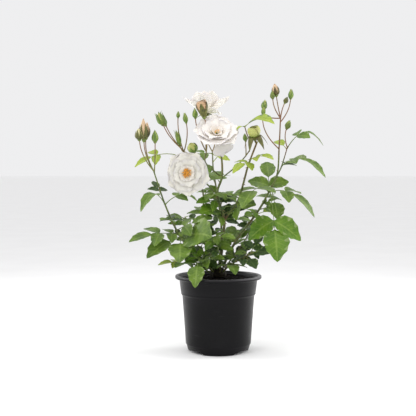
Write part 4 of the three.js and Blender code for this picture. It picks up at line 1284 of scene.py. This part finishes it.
def add_bloom_hip(hips, seat, face, side, lift, droop):
    """The hip behind a bloom, and its sepals laid back."""
    route = bezier(seat - face * 8, seat - face * 4, seat + face * 1.5)
    tube(hips, route, 0, 1, lambda t: 1.5 + 2.1 * math.sin(math.pi * min(t * 1.25, 1)) ** 0.8,
         sides=12, steps=12, finish=0)
    for k in range(SEPALS):
        ray = swing(side, lift, 1.1 + k * FULL_TURN / SEPALS)
        root = seat - face * 1.2 + ray * 2
        curve = bezier(root, root + ray * 9 - face * 1.2, root + ray * 17 - face * (2 + 14 * droop))
        net = np.array([curve(t) + np.outer(np.linspace(-1, 1, 5) * half, np.cross(face, ray))
                        for t, half in zip(SEPAL_STEPS, BLOOM_SEPAL_BREADTHS)])
        hips.add_lens(net, -face * 0.4, 0, turned=True)


def dress_blooms():
    petals, stamens, hips = Heap(), Heap(), Heap()
    chance = np.random.RandomState(SEEDS["blooms"])
    for number, (seat, face, side, lift, radius, _) in enumerate(blooms):
        for whorl, bearing, point, scale, step in petal_rows(number, chance):
            foot = seat + face * (step - 0.4)
            net, back = petal_net(foot, face, side, lift, radius, whorl, bearing, point, scale, chance)
            # Petals set below the seat take the greyer finish as painted shade; the blooms after the first
            # take a brighter copy as painted light
            petals.add_lens(net, back, 2 if step < 0 else min(number, 1))
        seat = seat + face * 1.4
        add_stamens(stamens, seat, face, side, lift, *STAMENS[number], chance)
        add_bloom_hip(hips, seat, face, side, lift, SEPAL_DROOPS[number])
    return (
        petals.write("petals", [
            # The first bloom's white is kept a little darker, and the other two blooms take a brighter,
            # slightly less cream copy of it: painted light and shade
            petal_finish("petal_white", tone(232, 228, 202), tone(228, 224, 213), tone(207, 203, 206)),
            petal_finish("petal_white_lit", tone(243, 235, 218), tone(246, 240, 233), tone(230, 225, 229)),
            # A greyer copy for the petal that hangs below the second bloom: painted shade
            petal_finish("petal_shade", tone(206, 201, 198), tone(214, 209, 207), tone(198, 193, 197))]),
        stamens.write("stamens", [
            plain_grain_finish("filament_yellow", tone(222, 176, 70), tone(236, 200, 104), 800, 0.6),
            plain_grain_finish("anther_gold", tone(222, 142, 36), tone(242, 180, 74), 1100, 0.7)]),
        hips.write("bloom_hips", [
            skin_finish("bloom_hip_green", tone(86, 108, 42), tone(128, 146, 66), tone(104, 96, 48))]),
    )


# Pot: the wall's profile as radius and height, outside from the foot up and inside down again
POT_PROFILE = [
    (15, 0), (20, 0), (34, 0), (45, 0), (51.4, 0), (52.6, 0.5), (53.1, 1.6), (54.1, 6), (55.3, 11),
    (55.9, 12.4), (56.8, 13.6), (57.2, 15.2), (60, 55), (62.8, 93.5), (63.1, 96.6), (63.5, 98.4),
    (64.3, 99.7), (65.1, 100.6), (65.5, 101.5), (65.3, 102.4), (65.1, 103.1), (65.7, 104.6), (67, 115.5),
    (68.1, 125), (68.7, 126.3), (70, 127), (73.6, 127.2), (74.8, 127.8), (75.5, 129.1), (75.6, 130.9),
    (75.2, 132.2), (74.4, 132.9), (73.4, 133), (71.4, 133), (70.4, 132.7), (69.8, 131.9), (69.4, 130.2),
    (68, 129.2), (65.8, 128), (65.2, 124), (53.6, 8.1), (26.8, 8.1),
]
NOTCH_RISE = 6
NOTCH_DEEP = 17
FOOT_RISE = 1.7
LOBE_STEP = 120
LOBE_HALF_ANGLE = 27
NOTCH_SLOPE_ANGLE = 12


def notch_share(x, y):
    """0 on the foot's three lobes, 1 in the notches between them."""
    angle = math.degrees(math.atan2(y, x))
    from_lobe = abs((angle + 90 + LOBE_STEP / 2) % LOBE_STEP - LOBE_STEP / 2)
    t = min(1, max(0, (from_lobe - LOBE_HALF_ANGLE) / NOTCH_SLOPE_ANGLE))
    return t * t * (3 - 2 * t)


def dress_pot():
    """One wall, inside and out, with notches pressed up into the foot."""
    pot = lathe("pot_shell", 120, POT_PROFILE)
    for vertex in pot.data.vertices:
        out, up = vertex.co.xy.length / MM, vertex.co.z / MM
        if out > NOTCH_DEEP and up < FOOT_RISE:
            vertex.co.z += NOTCH_RISE * MM * notch_share(vertex.co.x, vertex.co.y) * (1 - up * 0.25)
    return finish_piece(pot, pot_finish(), smooth_below=38)


# Potting mix, lumpy, with crumbs and bits of bark on it
SOIL_RADIUS = 64.5
SOIL_EDGE = 124
SOIL_HEIGHT = 124.3
SOIL_DOME = 5.2
SOIL_RINGS = 22
CRUMBS = 520


def soil_height(x, y):
    """The height of the lumpy surface, a little domed and flat at the wall."""
    out = math.hypot(x, y) / SOIL_RADIUS
    lumps = noise.noise(Vector((x * 0.09, y * 0.09, 1))) * 2.2
    lumps += noise.noise(Vector((x * 0.3, y * 0.3, 5))) * 1.3
    return SOIL_HEIGHT + SOIL_DOME * (1 - out ** 1.5) + lumps * min(1, (1 - out) * 5) * min(1, out * 3)


def dress_soil():
    top = [(SOIL_RADIUS * (1 - k / SOIL_RINGS), SOIL_EDGE + 5 * k / SOIL_RINGS) for k in range(SOIL_RINGS)]
    soil = lathe("potting_mix", 96, [(53, 9), (58, 70)] + top)
    for vertex in soil.data.vertices:
        if vertex.co.z > (SOIL_EDGE - 0.5) * MM:
            vertex.co.z = soil_height(vertex.co.x / MM, vertex.co.y / MM) * MM
    peat = soil_finish("peat", tone(9, 7, 6), tone(27, 21, 17), tone(70, 62, 52))
    return finish_piece(soil, peat, smooth_below=60)


def dress_crumbs():
    """Crumbs of peat and bark, modelled once as a rough lump and set about the surface."""
    bpy.ops.mesh.primitive_ico_sphere_add(subdivisions=1, radius=1, location=(0, 0, 0))
    lump = bpy.context.object
    bpy.ops.object.mode_set(mode="EDIT")
    bpy.ops.transform.resize(value=(1.3, 0.9, 0.6))
    bpy.ops.object.mode_set(mode="OBJECT")
    places = np.array([v.co[:] for v in lump.data.vertices])
    faces = np.array([p.vertices[:] for p in lump.data.polygons])
    bpy.data.objects.remove(lump)
    heap = Heap()
    chance = np.random.RandomState(SEEDS["crumbs"])
    for _ in range(CRUMBS):
        out = SOIL_RADIUS * 0.965 * math.sqrt(chance.uniform(0.05, 1))
        angle = chance.uniform(0, FULL_TURN)
        x, y = out * math.cos(angle), out * math.sin(angle)
        size = chance.uniform(0.5, 1.25) * (1.8 if chance.uniform() > 0.93 else 1)
        rough = places * chance.uniform(0.75, 1.25, places.shape)
        spin = chance.uniform(0, 6.3)
        c, s = math.cos(spin), math.sin(spin)
        turn = np.array([[c, -s, 0], [s, c, 0], [0, 0, 1]])
        crumb = rough @ turn.T * size + (x, y, soil_height(x, y) + size * 0.2)
        heap.add(crumb, [], int(chance.uniform() > 0.75), corners=faces)
    return heap.write("soil_crumbs", [
        soil_finish("peat_crumb", tone(11, 8, 7), tone(31, 24, 19), tone(50, 43, 36)),
        soil_finish("bark_crumb", tone(27, 18, 13), tone(54, 38, 27), tone(84, 70, 54))])


# Dressing: each piece, its slot, and the nodes that it stands for, which are hidden
FOLIAGE_NODES = [f"foliage_{name}" for name in SHOOTS]
BOUGH_NODES = [f"bough_{name}" for name, (_, bare, _) in SHOOTS.items() if bare]


def seat_piece(piece, slot, *nodes):
    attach(piece, "root")
    if nodes:
        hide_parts(*nodes)


seat_piece(dress_pot(), "pot", "pot")
seat_piece(dress_soil(), "soil", "soil")
seat_piece(dress_crumbs(), "soil")
seat_piece(dress_crown(), "bark", "crown")
seat_piece(dress_boughs(), "cane", *BOUGH_NODES)
seat_piece(dress_prickles(), "cane")
seat_piece(dress_shoots(), "foliage", *FOLIAGE_NODES)
seat_piece(dress_leaves(), "foliage", *FOLIAGE_NODES)
for piece in (*dress_buds(), *dress_blooms()):
    seat_piece(piece, "foliage")


# Studio: each light's name, place, size and power, and the camera, in metres
LIGHTS = [
    ("key", (-1, -1.3, 1.5), 1, 8),
    ("fill", (1.3, -1, 0.9), 1, 2.5),
    ("top", (0.1, -0.1, 1.5), 0.35, 4),
    ("left_edge", (-0.9, 0.4, 0.5), 0.5, 4),
    ("right_edge", (0.9, 0.4, 0.5), 0.5, 4),
]
LIGHT_TARGET = Vector((0, 0, 0.25))
FLOOR_SIZE = 60
PAPER_SHADE = (0.93, 0.928, 0.926, 1)
PAPER_WHITE = (0.95, 0.948, 0.946, 1)
AIR_COLOUR = (0.99, 0.99, 1, 1)
AIR_STRENGTH = 0.87
CAMERA_PLACE = (-0.0181, -1.62, 0.322)
CAMERA_DIP = 2.53
CAMERA_LENS = 80.4
CAMERA_SENSOR = 36


def link_at(name, data, place):
    made = bpy.data.objects.new(name, data)
    bpy.context.scene.collection.objects.link(made)
    made.location = place
    return made


def studio():
    bpy.ops.mesh.primitive_plane_add(size=FLOOR_SIZE, location=(0, 0, 0))
    floor = bpy.context.object
    floor.name = "studio_floor"
    paper = Finish("studio_paper", 0.9)
    paper.colour(paper.mix(paper.noise(6, 2).between(0.3, 0.7), PAPER_SHADE, PAPER_WHITE))
    floor.data.materials.append(paper.material)
    world = bpy.data.worlds.new("studio_air")
    bpy.context.scene.world = world
    world.use_nodes = True
    air = world.node_tree.nodes["Background"].inputs
    air["Color"].default_value = AIR_COLOUR
    air["Strength"].default_value = AIR_STRENGTH
    for name, place, size, power in LIGHTS:
        light = bpy.data.lights.new(name, "AREA")
        light.size = size
        light.energy = power
        lamp = link_at(name, light, place)
        lamp.rotation_euler = (LIGHT_TARGET - Vector(place)).to_track_quat("-Z", "Y").to_euler()
    view = bpy.data.cameras.new("photo_view")
    view.lens = CAMERA_LENS
    view.sensor_width = CAMERA_SENSOR
    camera = link_at("photo_view", view, CAMERA_PLACE)
    camera.rotation_euler = (math.radians(90 - CAMERA_DIP), 0, 0)
    bpy.context.scene.camera = camera
    bpy.context.scene.view_settings.view_transform = "Standard"


studio()
